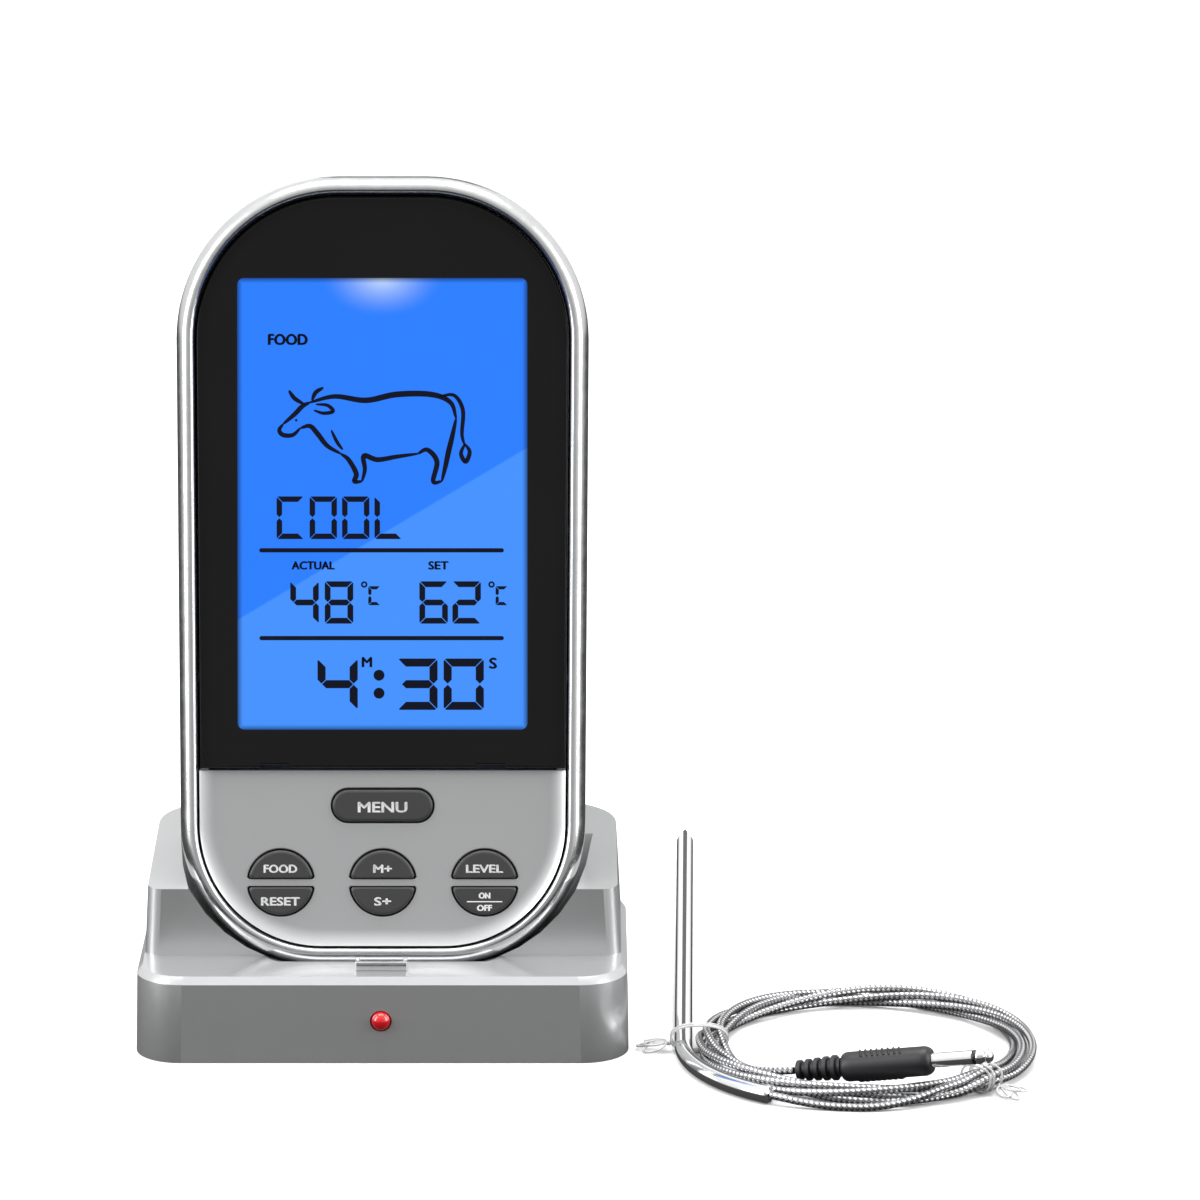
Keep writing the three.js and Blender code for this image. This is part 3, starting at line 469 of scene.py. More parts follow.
def display_blue():
    """The lit face: brighter under a slanting line, which is a painted reflection, with the lamp's glow at
    the top and a soft dark edge.
    """
    look = Look("display_blue", base_color=(0.001, 0.004, 0.012), roughness=0.25, specular_ior_level=0.15,
                emission_strength=1.0)
    xyz = look.axes()
    x, z = xyz["X"], xyz["Z"]
    left, right = (-0.0245, 0.0588), (0.0243, 0.0878)      # the ends of the slanting line, the edge of the painted reflection
    glow_wide, glow_tall = 0.0105, 0.0068
    slope = (right[1] - left[1]) / (right[0] - left[0])
    # Painted reflection: below the slanting line the blue is painted brighter, as a sheen across the lens.
    line = look.minus(z, look.plus(look.times(x, slope), left[1] - slope * left[0]))
    below = look.span(line, 1, 0, -0.0002, 0.0002)
    blue = look.mix(below, (0.024, 0.208, 1.0), (0.060, 0.285, 1.0))
    across = look.math("POWER", look.math("ABSOLUTE", look.math("DIVIDE", x, glow_wide)), 2)
    down = look.math("POWER", look.math("DIVIDE", look.minus(SCREEN_TOP * MM, z), glow_tall), 2)
    reach = look.math("SQRT", look.plus(across, down))
    glow = look.math("POWER", look.span(reach, 1, 0, 0, 1), 1.8)
    blue = look.mix(look.times(glow, 0.8), blue, (0.72, 0.86, 1.0))
    inward = [
        look.minus(SCREEN_HALF * MM, look.math("ABSOLUTE", x)),
        look.minus(z, SCREEN_BOTTOM * MM),
        look.minus(SCREEN_TOP * MM, z),
    ]
    nearest = look.math("MINIMUM", look.math("MINIMUM", inward[0], inward[1]), inward[2])
    lit = look.span(nearest, 0.25, 1, 0.0, 0.0009)
    look.set("Emission Color", look.mix(lit, (0.002, 0.006, 0.02), blue))
    return look.material


def display_ink():
    look = Look("display_ink", roughness=0.35, specular_ior_level=0.15)
    look.colour(look.noise(400), (0.0015, 0.002, 0.008), (0.003, 0.004, 0.014))
    return look.material


def white_print():
    look = Look("white_print", roughness=0.5)
    look.colour(look.noise(900), (0.8, 0.8, 0.8), (0.92, 0.92, 0.92))
    return look.material


def braided_steel():
    """Crossing strands of fine wire, woven over and under, with painted light and shade in the colour: the
    strands one way paler than those the other way, and the grooves near black. U runs along the cable in mm,
    and V round it.
    """
    look = Look("braided_steel", metallic=1.0)
    uv = look.add("ShaderNodeSeparateXYZ", {"Vector": look.add("ShaderNodeUVMap", uv_map="along").outputs[0]})
    around, pitch = 5, 0.9      # strands round the cable, and millimetres of cable to a strand
    u = look.math("DIVIDE", uv.outputs["X"], pitch)
    v = look.times(uv.outputs["Y"], around)
    one, other = look.plus(u, v), look.minus(u, v)

    def strand(phase, wires):
        """A band's arched height across it, with its single wires."""
        arch = look.math("ABSOLUTE", look.math("SINE", look.times(phase, pi)))
        fine = look.math("ABSOLUTE", look.math("SINE", look.times(phase, pi * wires)))
        return look.times(look.math("POWER", arch, 0.6), look.plus(0.7, look.times(fine, 0.3)))

    def parity(phase):
        return look.math("MODULO", look.math("FLOOR", look.plus(phase, 4000)), 2)

    over = look.math("ABSOLUTE", look.minus(parity(one), parity(other)))
    a, b = strand(one, 3), strand(other, 3)
    height = look.add("ShaderNodeMix", {0: over, 2: a, 3: b}, data_type="FLOAT").outputs[0]
    # Painted light and shade: the strands that run one way are painted pale and those that run the other way
    # dark.
    tone = look.mix(over, (0.26, 0.26, 0.27), (0.90, 0.90, 0.91))
    # Painted shade: the colour falls to near black in the grooves between and beside the strands.
    look.colour(look.span(height, 0, 1, 0.25, 0.75), (0.008, 0.008, 0.009), tone)
    look.set("Roughness", look.span(look.noise(1200), 0.22, 0.38))
    look.bump(height, 1.0, 0.00009)
    return look.material


def clear_plastic():
    look = Look("clear_plastic", transmission_weight=0.45, roughness=0.12, coat_weight=0.5)
    look.colour(look.noise(500), (0.66, 0.66, 0.66), (0.86, 0.86, 0.86))
    look.bump(look.noise(1800), 0.3, 0.00005)
    return look.material


def lamp_red():
    look = Look("lamp_red", coat_weight=1.0, coat_roughness=0.04, emission_color=(0.6, 0.003, 0.006),
                emission_strength=0.12)
    # Painted shade: the dome is painted darker towards its base and lighter at its top.
    low = look.span(look.axes()["Z"], 0, 1, 0.0057, 0.0088)
    look.colour(low, (0.28, 0.002, 0.004), (0.72, 0.006, 0.010))
    look.set("Roughness", look.span(look.noise(400), 0.1, 0.2))
    return look.material


def cell_wrap():
    """A printed cell jacket: a plain band of colour at one end."""
    look = Look("cell_wrap", roughness=0.3, coat_weight=0.4, metallic=0.2)
    x = look.axes()["X"]
    band = look.span(x, 0, 1, 0.0098, 0.0102)
    blue = look.mix(look.noise(200), (0.022, 0.058, 0.125), (0.03, 0.075, 0.155))
    look.colour(band, blue, (0.55, 0.40, 0.16))
    return look.material


def circuit_board():
    look = Look("circuit_board", roughness=0.35, coat_weight=0.4)
    cells = look.add("ShaderNodeTexVoronoi", {"Vector": look.place, "Scale": 420}, feature="DISTANCE_TO_EDGE")
    tracks = look.span(cells.outputs["Distance"], 1, 0, 0.02, 0.05)
    green = look.mix(look.noise(150), (0.008, 0.070, 0.022), (0.014, 0.105, 0.036))
    look.colour(tracks, green, (0.05, 0.20, 0.08))
    look.bump(tracks, 0.3, 0.00005)
    return look.material


SILVER = (0.52, 0.525, 0.53)
LOOKS = {
    "silver_casing": silver_paint("silver_casing_paint", SILVER),
    "bright_rim": polished("rim_silver", (0.66, 0.665, 0.67), 0.16, 0.26, (500, 500, 500)),
    "black_lens": lens_black(),
    "lcd_blue": display_blue(),
    "diffuser": plastic("diffuser_white", (0.78, 0.82, 0.86), 0.45, 1200, 0.05),
    "circuit_board": circuit_board(),
    "button_grey": plastic("key_grey", (0.037, 0.037, 0.038), 0.42, 2600, 0.12),
    "keypad_rubber": plastic("keypad_rubber", (0.20, 0.205, 0.21), 0.75, 1800, 0.2),
    "black_rubber": plastic("foot_rubber", (0.012, 0.012, 0.012), 0.7, 1500, 0.3),
    "cell_jacket": cell_wrap(),
    "spring_steel": polished("contact_nickel", (0.55, 0.54, 0.51), 0.2, 0.35),
    "brass_wire": polished("antenna_brass", (0.62, 0.42, 0.14), 0.2, 0.35),
    "black_plastic": plastic("moulded_black", (0.010, 0.010, 0.012), 0.42, 2200, 0.18),
    "indicator_red": lamp_red(),
    "polished_steel": polished("needle_steel", (0.86, 0.86, 0.865), 0.05, 0.11, (1500, 40, 1500)),
    "steel_braid": braided_steel(),
    "clear_tie": clear_plastic(),
}


# ---- camera, floor and lights ----

CAMERA_AIM = Vector((0.0369, 0, 0.0739))
CAMERA_DISTANCE = 1.1
CAMERA_ELEVATION = 14.5
FRAME_WIDTH = 0.2035     # across the picture, at the aim


def make_camera():
    camera = bpy.data.cameras.new("camera")
    camera.sensor_width = 36
    camera.lens = camera.sensor_width * CAMERA_DISTANCE / FRAME_WIDTH
    camera.clip_start, camera.clip_end = 0.01, 100
    obj = add_object("camera", camera)
    tilt = radians(CAMERA_ELEVATION)
    obj.location = CAMERA_AIM + Vector((0, -cos(tilt), sin(tilt))) * CAMERA_DISTANCE
    obj.rotation_euler = (radians(90 - CAMERA_ELEVATION), 0, 0)
    scene.camera = obj


def stage_plane(name, size, location, rotation, grey):
    mesh = bpy.data.meshes.new(name)
    x, y = size[0] / 2, size[1] / 2
    mesh.from_pydata([(-x, -y, 0), (x, -y, 0), (x, y, 0), (-x, y, 0)], [], [(0, 1, 2, 3)])
    obj = add_object(name, mesh)
    obj.location, obj.rotation_euler = location, [radians(r) for r in rotation]
    mesh.materials.append(Look(name, roughness=0.9, base_color=(grey, grey, grey)).material)
    return obj


def soft_box(name, location, aim, size, power):
    light = bpy.data.lights.new(name, "AREA")
    light.shape, light.size, light.size_y = "RECTANGLE", size[0], size[1]
    light.energy = power
    obj = add_object(name, light)
    obj.location = location
    obj.rotation_euler = (Vector(aim) - Vector(location)).to_track_quat("-Z", "Y").to_euler()


def make_studio():
    scene.view_settings.view_transform = "Standard"
    world = bpy.data.worlds.new("studio")
    scene.world = world
    world.use_nodes = True
    tree = world.node_tree
    where = tree.nodes.new("ShaderNodeTexCoord").outputs["Generated"]

    def ramp(value, stops):
        made = tree.nodes.new("ShaderNodeValToRGB")
        while len(made.color_ramp.elements) < len(stops):
            made.color_ramp.elements.new(0.5)
        for element, (position, grey) in zip(made.color_ramp.elements, stops):
            element.position, element.color = position, (grey, grey, grey, 1)
        tree.links.new(value, made.inputs["Fac"])
        return made.outputs["Color"]

    def facing(direction):
        """How nearly a direction of the sky points one way, as 0 to 1."""
        dot = tree.nodes.new("ShaderNodeVectorMath")
        dot.operation = "DOT_PRODUCT"
        tree.links.new(where, dot.inputs[0])
        dot.inputs[1].default_value = Vector(direction).normalized()
        moved = tree.nodes.new("ShaderNodeMapRange")
        moved.inputs["From Min"].default_value = -1
        tree.links.new(dot.outputs["Value"], moved.inputs["Value"])
        return moved.outputs["Result"]

    sky = ramp(facing((0, 0, 1)), [(0, 0.05), (0.44, 0.07), (0.495, 0.75), (0.56, 0.86), (0.8, 1.0)])
    gap = ramp(facing((0, -1, 0.17)), [(0.85, 1.0), (0.975, 0.52), (1, 0.48)])
    glow = ramp(facing((0, 1, 0.12)), [(0.96, 0.72), (1, 1.0)])
    colour = sky
    for layer in (gap, glow):
        joined = tree.nodes.new("ShaderNodeMix")
        joined.data_type, joined.blend_type = "RGBA", "MULTIPLY"
        joined.inputs[0].default_value = 1
        tree.links.new(colour, joined.inputs[6])
        tree.links.new(layer, joined.inputs[7])
        colour = joined.outputs[2]
    tree.links.new(colour, tree.nodes["Background"].inputs["Color"])
    tree.nodes["Background"].inputs["Strength"].default_value = 1.6
    floor = stage_plane("floor", (40, 40), (0, 0, -0.00005), (0, 0, 0), 0.93)
    floor.visible_glossy = floor.visible_diffuse = False
    card = stage_plane("grey_card", (0.56, 1.2), (0.10, 2.0, 0.62), (90, 0, 0), 0.30)
    card.visible_camera = card.visible_shadow = card.visible_diffuse = False
    aim = (0.03, 0, 0.07)
    soft_box("key_left", (-0.80, -0.35, 0.45), aim, (0.35, 0.8), 6.0)
    soft_box("key_right", (0.88, -0.30, 0.42), aim, (0.35, 0.8), 5.5)
    soft_box("top", (0.02, 0.10, 1.0), aim, (0.8, 0.6), 8.0)


make_camera()
make_studio()

# ---- the lead ----

TURNS = 1731 / 360             # of the coil, between the lead-in and the tail
BUNDLE_RADIUS = 26.6           # of the bundle's middle, round the coil
BUNDLE_HALF_WIDTH, BUNDLE_HALF_HEIGHT = 1.75, 1.08
STRANDS = 5
STEPS_PER_TURN = 150
# Each tie: its name, its turn, the bundle's inner and outer radius and its height there, the place and slant
# of each wrap, and where the bow starts and its size.
TIES = (
    ("twist_tie_1", 178, (23.5, 33.1, 4.75), ((-0.8, 0.3), (-0.2, -0.4), (0.5, 0.2)), (33.0, 4.4)),
    ("twist_tie_2", 315, (23.7, 29.65, 4.7), ((-2.2, 0.3), (-0.7, -0.3), (0.6, 0.4)), (29.6, 4.0)),
)
TIE_LIFT, TIE_REACH = 0.62, 16          # how far a tie's wire lifts the bundle, and over how many degrees
BLEND = 34                              # degrees over which the bundle takes over from the ends

# The route before the coil, as [turn in degrees, radius, height], and after it, as [x, y, z].
LEAD_IN = [(237.2, 31, 1.5), (241, 30.95, 1.45), (246, 30.7, 1.15), (252, 30.35, 0.85), (258, 30.05, 0.68),
           (264, 29.92, 0.66)]
TAIL = [(-22.45, -6.1, 0.66), (-21.3, -8.6, 0.7), (-19.5, -11.2, 0.95), (-17.3, -13.4, 1.45),
        (-14.9, -15.1, 2), (-12.75, -16.05, 2.38)]


def round_coil(turn, radius, height):
    angle = radians(turn)
    return Vector((radius * cos(angle), radius * sin(angle), height))


def ease(t):
    t = min(max(t, 0), 1)
    return t * t * (3 - 2 * t)


def near(turn, middle, reach):
    """1 at one place round the coil, falling to 0 a reach away from it."""
    away = abs((turn - middle + 180) % 360 - 180)
    return 1 - ease(away / reach)


def tie_lift(turn):
    """How far the ties' wire lifts the bundle off the surface."""
    return TIE_LIFT * max(near(turn, tie[1], TIE_REACH) for tie in TIES)


def bundle_point(turn):
    """The cable in the bundle: its turns twist slowly round each other, and fan out at the far side."""
    first = LEAD_IN[-1][0]
    travelled = (turn - first) / 360
    phase = radians(-20 + travelled * (360 / STRANDS + 720))
    fan = near(turn, 85, 75)
    radius = BUNDLE_RADIUS + 0.5 * fan + (BUNDLE_HALF_WIDTH + 0.9 * fan) * cos(phase)
    height = CABLE_RADIUS + BUNDLE_HALF_HEIGHT * (1 + sin(phase)) + tie_lift(turn)
    stray = near(turn, 360 + 84, 78) if first < turn < first + 360 else 0
    radius += 2.6 * stray
    return round_coil(turn, radius, height - stray * (height - CABLE_RADIUS) * 0.9)


def coil_route():
    first = LEAD_IN[-1][0]
    last = first + 360 * TURNS
    count = round(STEPS_PER_TURN * TURNS)
    entry = round_coil(*LEAD_IN[-1])
    leaving = Vector(TAIL[0])
    line = []
    for i in range(1, count):
        turn = first + (last - first) * i / count
        p = bundle_point(turn)
        come = 1 - ease((turn - first) / BLEND)
        go = 1 - ease((last - turn) / BLEND)
        offset = round_coil(turn, entry.xy.length, LEAD_IN[-1][2]) - p
        p += offset * come
        offset = round_coil(turn, leaving.xy.length, TAIL[0][2]) - p
        line.append(p + offset * go)
    return line


def cable_path():
    inward = smooth_path([round_coil(*p) for p in LEAD_IN], 4)
    outward = smooth_path(TAIL, 4)
    return inward + coil_route() + outward


def make_cable():
    path = cable_path()
    cable = add_piece("probe_cable", tube(path, CABLE_RADIUS), "lead", "steel_braid", COIL,
                      ["cable_lead_in", "cable_coil", "cable_tail"], 60, False)
    return cable, [COIL @ (p * MM) for p in path]


# ---- the ties ----

TIE_RADIUS, BOW_HEIGHT = 0.2, 1.5


def tie_frame(turn):
    """X outwards from the coil, Y along it, Z up."""
    return COIL @ Matrix.Rotation(radians(turn), 4, "Z")


def wrap_loop(inner, outer, high, along, slant):
    """A closed wrap round the bundle: a rounded oval between two radii, from the surface to a height."""
    middle, half = (inner + outer) / 2, (outer - inner) / 2
    centre, rise = (high + TIE_RADIUS) / 2, (high - TIE_RADIUS) / 2
    points = []
    for a in circle(28):
        x = middle + half * copysign(abs(cos(a)) ** 0.75, cos(a))
        z = centre + rise * copysign(abs(sin(a)) ** 0.85, sin(a))
        points.append((x, along + slant * cos(a) + 0.15 * sin(3 * a), z))
    return points


def join_solids(solids):
    whole = Solid()
    for solid in solids:
        start = len(whole.points)
        whole.points += solid.points
        whole.faces += [tuple(i + start for i in face) for face in solid.faces]
    return whole


def make_tie(name, turn, bundle, wraps, bow):
    parts = [tube(smooth_path(wrap_loop(*bundle, *wrap), 3, True), TIE_RADIUS, 10, True) for wrap in wraps]
    parts += [tube(smooth_path(line, 6, loop), TIE_RADIUS, 10, loop) for line, loop in bow_lines(*bow)]
    return add_piece(name, join_solids(parts), "lead", "clear_tie", tie_frame(turn), sharp=50, weighted=False)


def bow_lines(x, size):
    """A twisted pair of wires that starts beside the bundle and opens into four loose loops."""
    twist = []
    for start in (0, pi):
        turns = [start + k * 1.25 for k in range(7)]
        twist.append([(x + 0.1 + 0.24 * k, 0.21 * cos(a), BOW_HEIGHT + 0.21 * sin(a))
                      for k, a in enumerate(turns)])
    lines = [(line, False) for line in twist]
    for lean, reach, wide, drop in ((0.75, 1.0, 0.62, 0.8), (-0.7, 0.95, 0.6, 0.7), (0.2, 0.8, 0.5, 0.25),
                                    (-0.25, 1.1, 0.42, 1.0)):
        loop = []
        for a in circle(12):
            along, across = reach * (1 - cos(a)) / 2, wide * sin(a) * 0.5
            px = along * cos(lean) - across * sin(lean)
            py = along * sin(lean) + across * cos(lean)
            loop.append((x + 1.2 + size * px, size * py, BOW_HEIGHT + 0.2 - drop * along))
        lines.append((loop, True))
    return lines


# ---- the plug ----


def make_strain_relief():
    """Five soft fins on a tapering sleeve."""
    profile = [(0, 0), (0, 0.95)]
    for fin in range(5):
        start, top = 0.15 + fin * 1.55, 1.75 + 0.1 * fin
        core = 1.15 + 0.09 * fin
        profile += [(start, core), (start + 0.1, top - 0.12), (start + 0.22, top), (start + 0.83, top),
                    (start + 0.95, top - 0.12), (start + 1.02, core + 0.05)]
    profile += [(8.0, 1.6), (8.0, 0)]
    return add_piece("strain_relief", turned(profile), "lead", "black_plastic", PLUG)


def make_plug_body():
    profile = [(8.3, 0), (8.3, 1.9), (8.42, 2.18), (8.8, 2.42), (9.2, 2.5)]
    profile += [(9.2 + 13.2 * k / 12, 2.5) for k in range(1, 13)]
    profile += [(22.9, 2.47), (23.4, 2.3), (23.8, 2.0), (24, 1.6), (24, 0)]
    solid = turned(profile, 64)
    grips = []
    for k in range(8):
        for side in (0, pi):
            ridge = []
            for i in range(9):
                lean = -0.62 + 1.24 * i / 8
                turn = lean + pi / 2 + side
                x = 11.6 + k * 0.98 + lean * 0.9
                lift = 2.46 + 0.12 * sin(pi * i / 8)
                ridge.append((x, lift * cos(turn), lift * sin(turn)))
            grips.append(tube(smooth_path(ridge, 2), 0.2, 8))
    return add_piece("plug_body", join_solids([solid, *grips]), "lead", "black_plastic", PLUG)


def make_plug_pin():
    profile = [(20.3, 0), (20.3, 1.25), (24.3, 1.25), (24.35, 1.15), (24.6, 1.15), (24.65, 1.25),
               (30.9, 1.25), (31, 1.18), (31, 0.6), (31.7, 0.6), (31.7, 1.18), (31.8, 1.25), (32.2, 1.25),
               (32.6, 1.08), (32.95, 0.9), (33.1, 0.88), (33.3, 0.98), (33.55, 1.17), (33.75, 1.2), (34, 1.1),
               (34.3, 0.8), (34.46, 0.45), (34.5, 0.2), (34.5, 0)]
    return add_piece("plug_pin", turned(profile), "lead", "polished_steel", PLUG)


def make_plug_insulator():
    """A ring of black plastic let into the pin's waist."""
    solid = Solid()
    profile = [(31.06, 0.66), (31.06, 1.16), (31.12, 1.21), (31.58, 1.21), (31.64, 1.16), (31.64, 0.66)]
    solid.skin(round_rings(solid, profile), True)
    return add_piece("plug_insulator", solid, "lead", "black_plastic", PLUG)


# ---- the needle ----


def make_needle():
    """A straight steel tube with three facets ground on its point, bent round the coil at its other end."""
    way = Vector((-NEEDLE_DRIFT, -NEEDLE_LENGTH, 0)).normalized()
    corner = Vector((-NEEDLE_OFFSET, 0, NEEDLE_RADIUS))
    tip = corner - way * NEEDLE_LENGTH
    sides = 48
    solid, rings = Solid(), []

    def section(at, along, radius_of=lambda a: NEEDLE_RADIUS):
        up = Vector((0, 0, 1))
        side = along.cross(up).normalized()
        rings.append(solid.ring([at + (side * cos(a) + up * sin(a)) * radius_of(a)
                                 for a in circle(sides)]))

    def ground(distance):
        """The section where three planes, meeting at the point, cut the round bar."""
        inner = NEEDLE_RADIUS * (distance / NEEDLE_TIP) ** 0.9

        def radius(angle):
            off = (angle + radians(30)) % radians(120) - radians(60)
            return min(NEEDLE_RADIUS, inner / max(cos(off), 0.3))

        return radius

    for k in range(1, 25):
        distance = 0.06 + (NEEDLE_TIP - 0.06) * k / 24
        section(tip + way * distance, way, ground(distance))
    section(tip + way * (NEEDLE_TIP + 0.3), way)
    section(corner - way * 4, way)
    bends = 28
    for i in range(1, bends + 1):
        turn = 180 + NEEDLE_BEND * i / bends
        angle = radians(turn)
        along = Vector((-sin(angle), cos(angle), 0))
        at = round_coil(turn, NEEDLE_OFFSET, NEEDLE_RADIUS)
        section(at, along)
    for beyond, part in ((0.35, 0.9), (0.55, 0.62), (-0.3, 0.5)):      # a rounded mouth, with the cable in it
        section(at + along * beyond, along, lambda a, part=part: NEEDLE_RADIUS * part)
    solid.skin(rings)
    point = solid.ring([tip])[0]
    solid.faces += [(rings[0][i], rings[0][(i + 1) % sides], point) for i in range(sides)]
    solid.faces.append(tuple(rings[-1]))
    add_piece("probe_needle", solid, "lead", "polished_steel", COIL, sharp=24)


cable, cable_route = make_cable()
on_the_cable = [make_strain_relief(), make_plug_body(), make_plug_pin(), make_plug_insulator()]
on_the_cable += [make_tie(*tie) for tie in TIES]
make_needle()
tuple(cable_route[0])
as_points(cable_route)


# ---- the display unit ----


def make_rim():
    """A rounded bright frame, rolled in at the panel."""
    outside = [(2.3 + x, 3.4 + y) for x, y in arc((0, 0), (2.3, 3.4), 180, 270, 14)]
    inside = [(2.3 + x, 1.1 + y) for x, y in arc((0, 0), (0.8, 1.1), 270, 360, 7)][1:]
    back = [(RIM_WIDTH, RIM_DEPTH), (0.5, RIM_DEPTH), (0.12, RIM_DEPTH - 0.12), (0, RIM_DEPTH - 0.5)]
    solid = Solid()
    solid.skin(solid.profile(unit_outline, outside + inside + back), True)
    add_piece("rim_trim", solid, "display_unit", "bright_rim", UNIT)


# The column of each key that is half of a round one, and its side: 1 above the slot, -1 below.
SPLIT_KEYS = {"meat": (-1, 1), "clear": (-1, -1), "min": (0, 1), "sec": (0, -1), "taste": (1, 1),
              "start_stop": (1, -1)}


def key_outlines():
    """The CAD node, the body and the outline of each key."""
    yield "mode_button", "mode_key", stadium
    for key, (column, side) in SPLIT_KEYS.items():
        yield f"{key}_button", f"{key}_key", partial(half_disc, column * SPLIT_SPACING, side)


def make_front_housing():
    """The button panel, its edge swept up to the rim, with a chamfered hole for each key."""
    band, rise = 2.7, 0.9      # a wider band would cut into the holes of the outer keys
    cove = [(PANEL_INSET + band * k / 16, PANEL_FACE - rise * (1 - k / 16) ** 1.8) for k in range(17)]
    stations = [(PANEL_INSET + 1.6, PANEL_BACK), (PANEL_INSET, PANEL_BACK)] + cove
    solid = Solid()
    rings = solid.profile(panel_outline, stations)
    solid.skin(rings)
    holes = []
    for _, _, outline in key_outlines():
        hole = solid.profile(outline, [
            (0.46, PANEL_FACE), (0.36, PANEL_FACE + 0.03), (0.28, PANEL_FACE + 0.12),
            (0.26, PANEL_FACE + 0.25), (0.26, PANEL_BACK),
        ])
        solid.skin(hole)
        holes.append(hole)
    solid.cap(rings[-1], *[hole[0] for hole in holes])
    solid.cap(rings[0], *[hole[-1] for hole in holes])
    wall = Solid()
    inset = [PANEL_INSET, PANEL_INSET + 1.4]
    wall.skin(wall.profile(unit_outline, [(inset[0], PANEL_BACK + 0.05), (inset[0], 8.1), (inset[1], 8.1),
                                          (inset[1], PANEL_BACK + 0.05)]), True)
    add_piece("front_housing", join_solids([solid, wall]), "display_unit", "silver_casing", UNIT, sharp=26)


def make_lens():
    """A black glass front with soft edges and a window over the screen."""
    edge = PANEL_INSET + 0.05
    solid = Solid()
    soft = [(edge + 0.55 * (1 - cos(a)), LENS_FACE + 0.42 * (1 - sin(a)))
            for a in (radians(90 * k / 6) for k in range(7))]
    rings = solid.profile(lens_outline, [(edge, LENS_BACK)] + soft)
    window = solid.profile(window_outline, [(0.0, LENS_FACE), (0.0, LENS_BACK)])
    solid.skin(rings).skin(window)
    solid.cap(rings[-1], window[0])
    solid.cap(rings[0], window[-1])
    add_piece("display_lens", solid, "display_unit", "black_lens", UNIT)


def make_screen():
    face = LENS_FACE + 0.1
    solid = Solid()
    solid.block(solid.profile(
        window_outline, [(-0.04, face), (-0.04, LENS_BACK), (1.2, LENS_BACK + 0.05), (1.2, 5.7)]))
    add_piece("lcd_panel", solid, "display_unit", "lcd_blue", UNIT, weighted=False)


def make_keys():
    for name, body, outline in key_outlines():
        solid = Solid()
        solid.block(solid.profile(outline, [
            (-0.5, BUTTON_FACE), (-0.28, BUTTON_FACE + 0.04), (-0.1, BUTTON_FACE + 0.14),
            (0, BUTTON_FACE + 0.32), (0, BUTTON_BACK), (0.5, BUTTON_BACK), (0.5, BUTTON_BACK + 0.7),
        ]))
        add_piece(name, solid, body, "button_grey", UNIT, sharp=34)


# ---- what is printed and shown on it ----


def prism(solid, outline, front, back):
    """A thin plate of an outline in X and Z."""
    solid.block([solid.ring([(x, depth, z) for x, z in outline]) for depth in (front, back)])


def shrink(outline, distance):
    """A convex outline moved inwards."""
    area = sum(a[0] * b[1] - b[0] * a[1] for a, b in zip(outline, outline[1:] + outline[:1]))
    points = outline if area > 0 else outline[::-1]
    count = len(points)
    lines = []
    for k in range(count):
        a, b = Vector(points[k]), Vector(points[(k + 1) % count])
        way = (b - a).normalized()
        lines.append((a + Vector((-way.y, way.x)) * distance, way))
    made = []
    for k in range(count):
        (p, u), (q, v) = lines[k - 1], lines[k]
        cross = u.x * v.y - u.y * v.x
        t = ((q - p).x * v.y - (q - p).y * v.x) / cross
        made.append(tuple(p + u * t))
    return made


SHOWN_FRONT, SHOWN_BACK = LENS_FACE + 0.05, LENS_FACE + 0.1      # of everything on the display
SEGMENTS = {"0": "abcdef", "2": "abdeg", "3": "abcdg", "4": "bcfg", "6": "acdefg", "8": "abcdefg",
            "C": "adef", "L": "def"}


def segment_outlines(width, height, stroke):
    """The seven bars of a figure, mitred where they meet."""
    w, h, s, c, m = width, height, stroke, stroke * 0.3, height / 2
    top = [(c, h), (w - c, h), (w - c / 2, h - c / 2), (w - s, h - s), (s, h - s), (c / 2, h - c / 2)]
    upper_left = [(0, h - c), (c / 2, h - c / 2), (s, h - s), (s, m + s / 2), (s / 2, m), (0, m + s / 2)]
    middle = [(s / 2, m), (s, m + s / 2), (w - s, m + s / 2), (w - s / 2, m), (w - s, m - s / 2),
              (s, m - s / 2)]

    def across(outline):
        return [(w - x, z) for x, z in outline]

    def over(outline):
        return [(x, h - z) for x, z in outline]

    return {"a": top, "d": over(top), "f": upper_left, "e": over(upper_left), "b": across(upper_left),
            "c": over(across(upper_left)), "g": middle}


def place_figure(solid, figure, x, z, width, height, stroke, gap):
    bars = segment_outlines(width, height, stroke)
    for name in SEGMENTS[figure]:
        outline = [(x + px, z + pz) for px, pz in shrink(bars[name], gap / 2)]
        prism(solid, outline, SHOWN_FRONT, SHOWN_BACK)


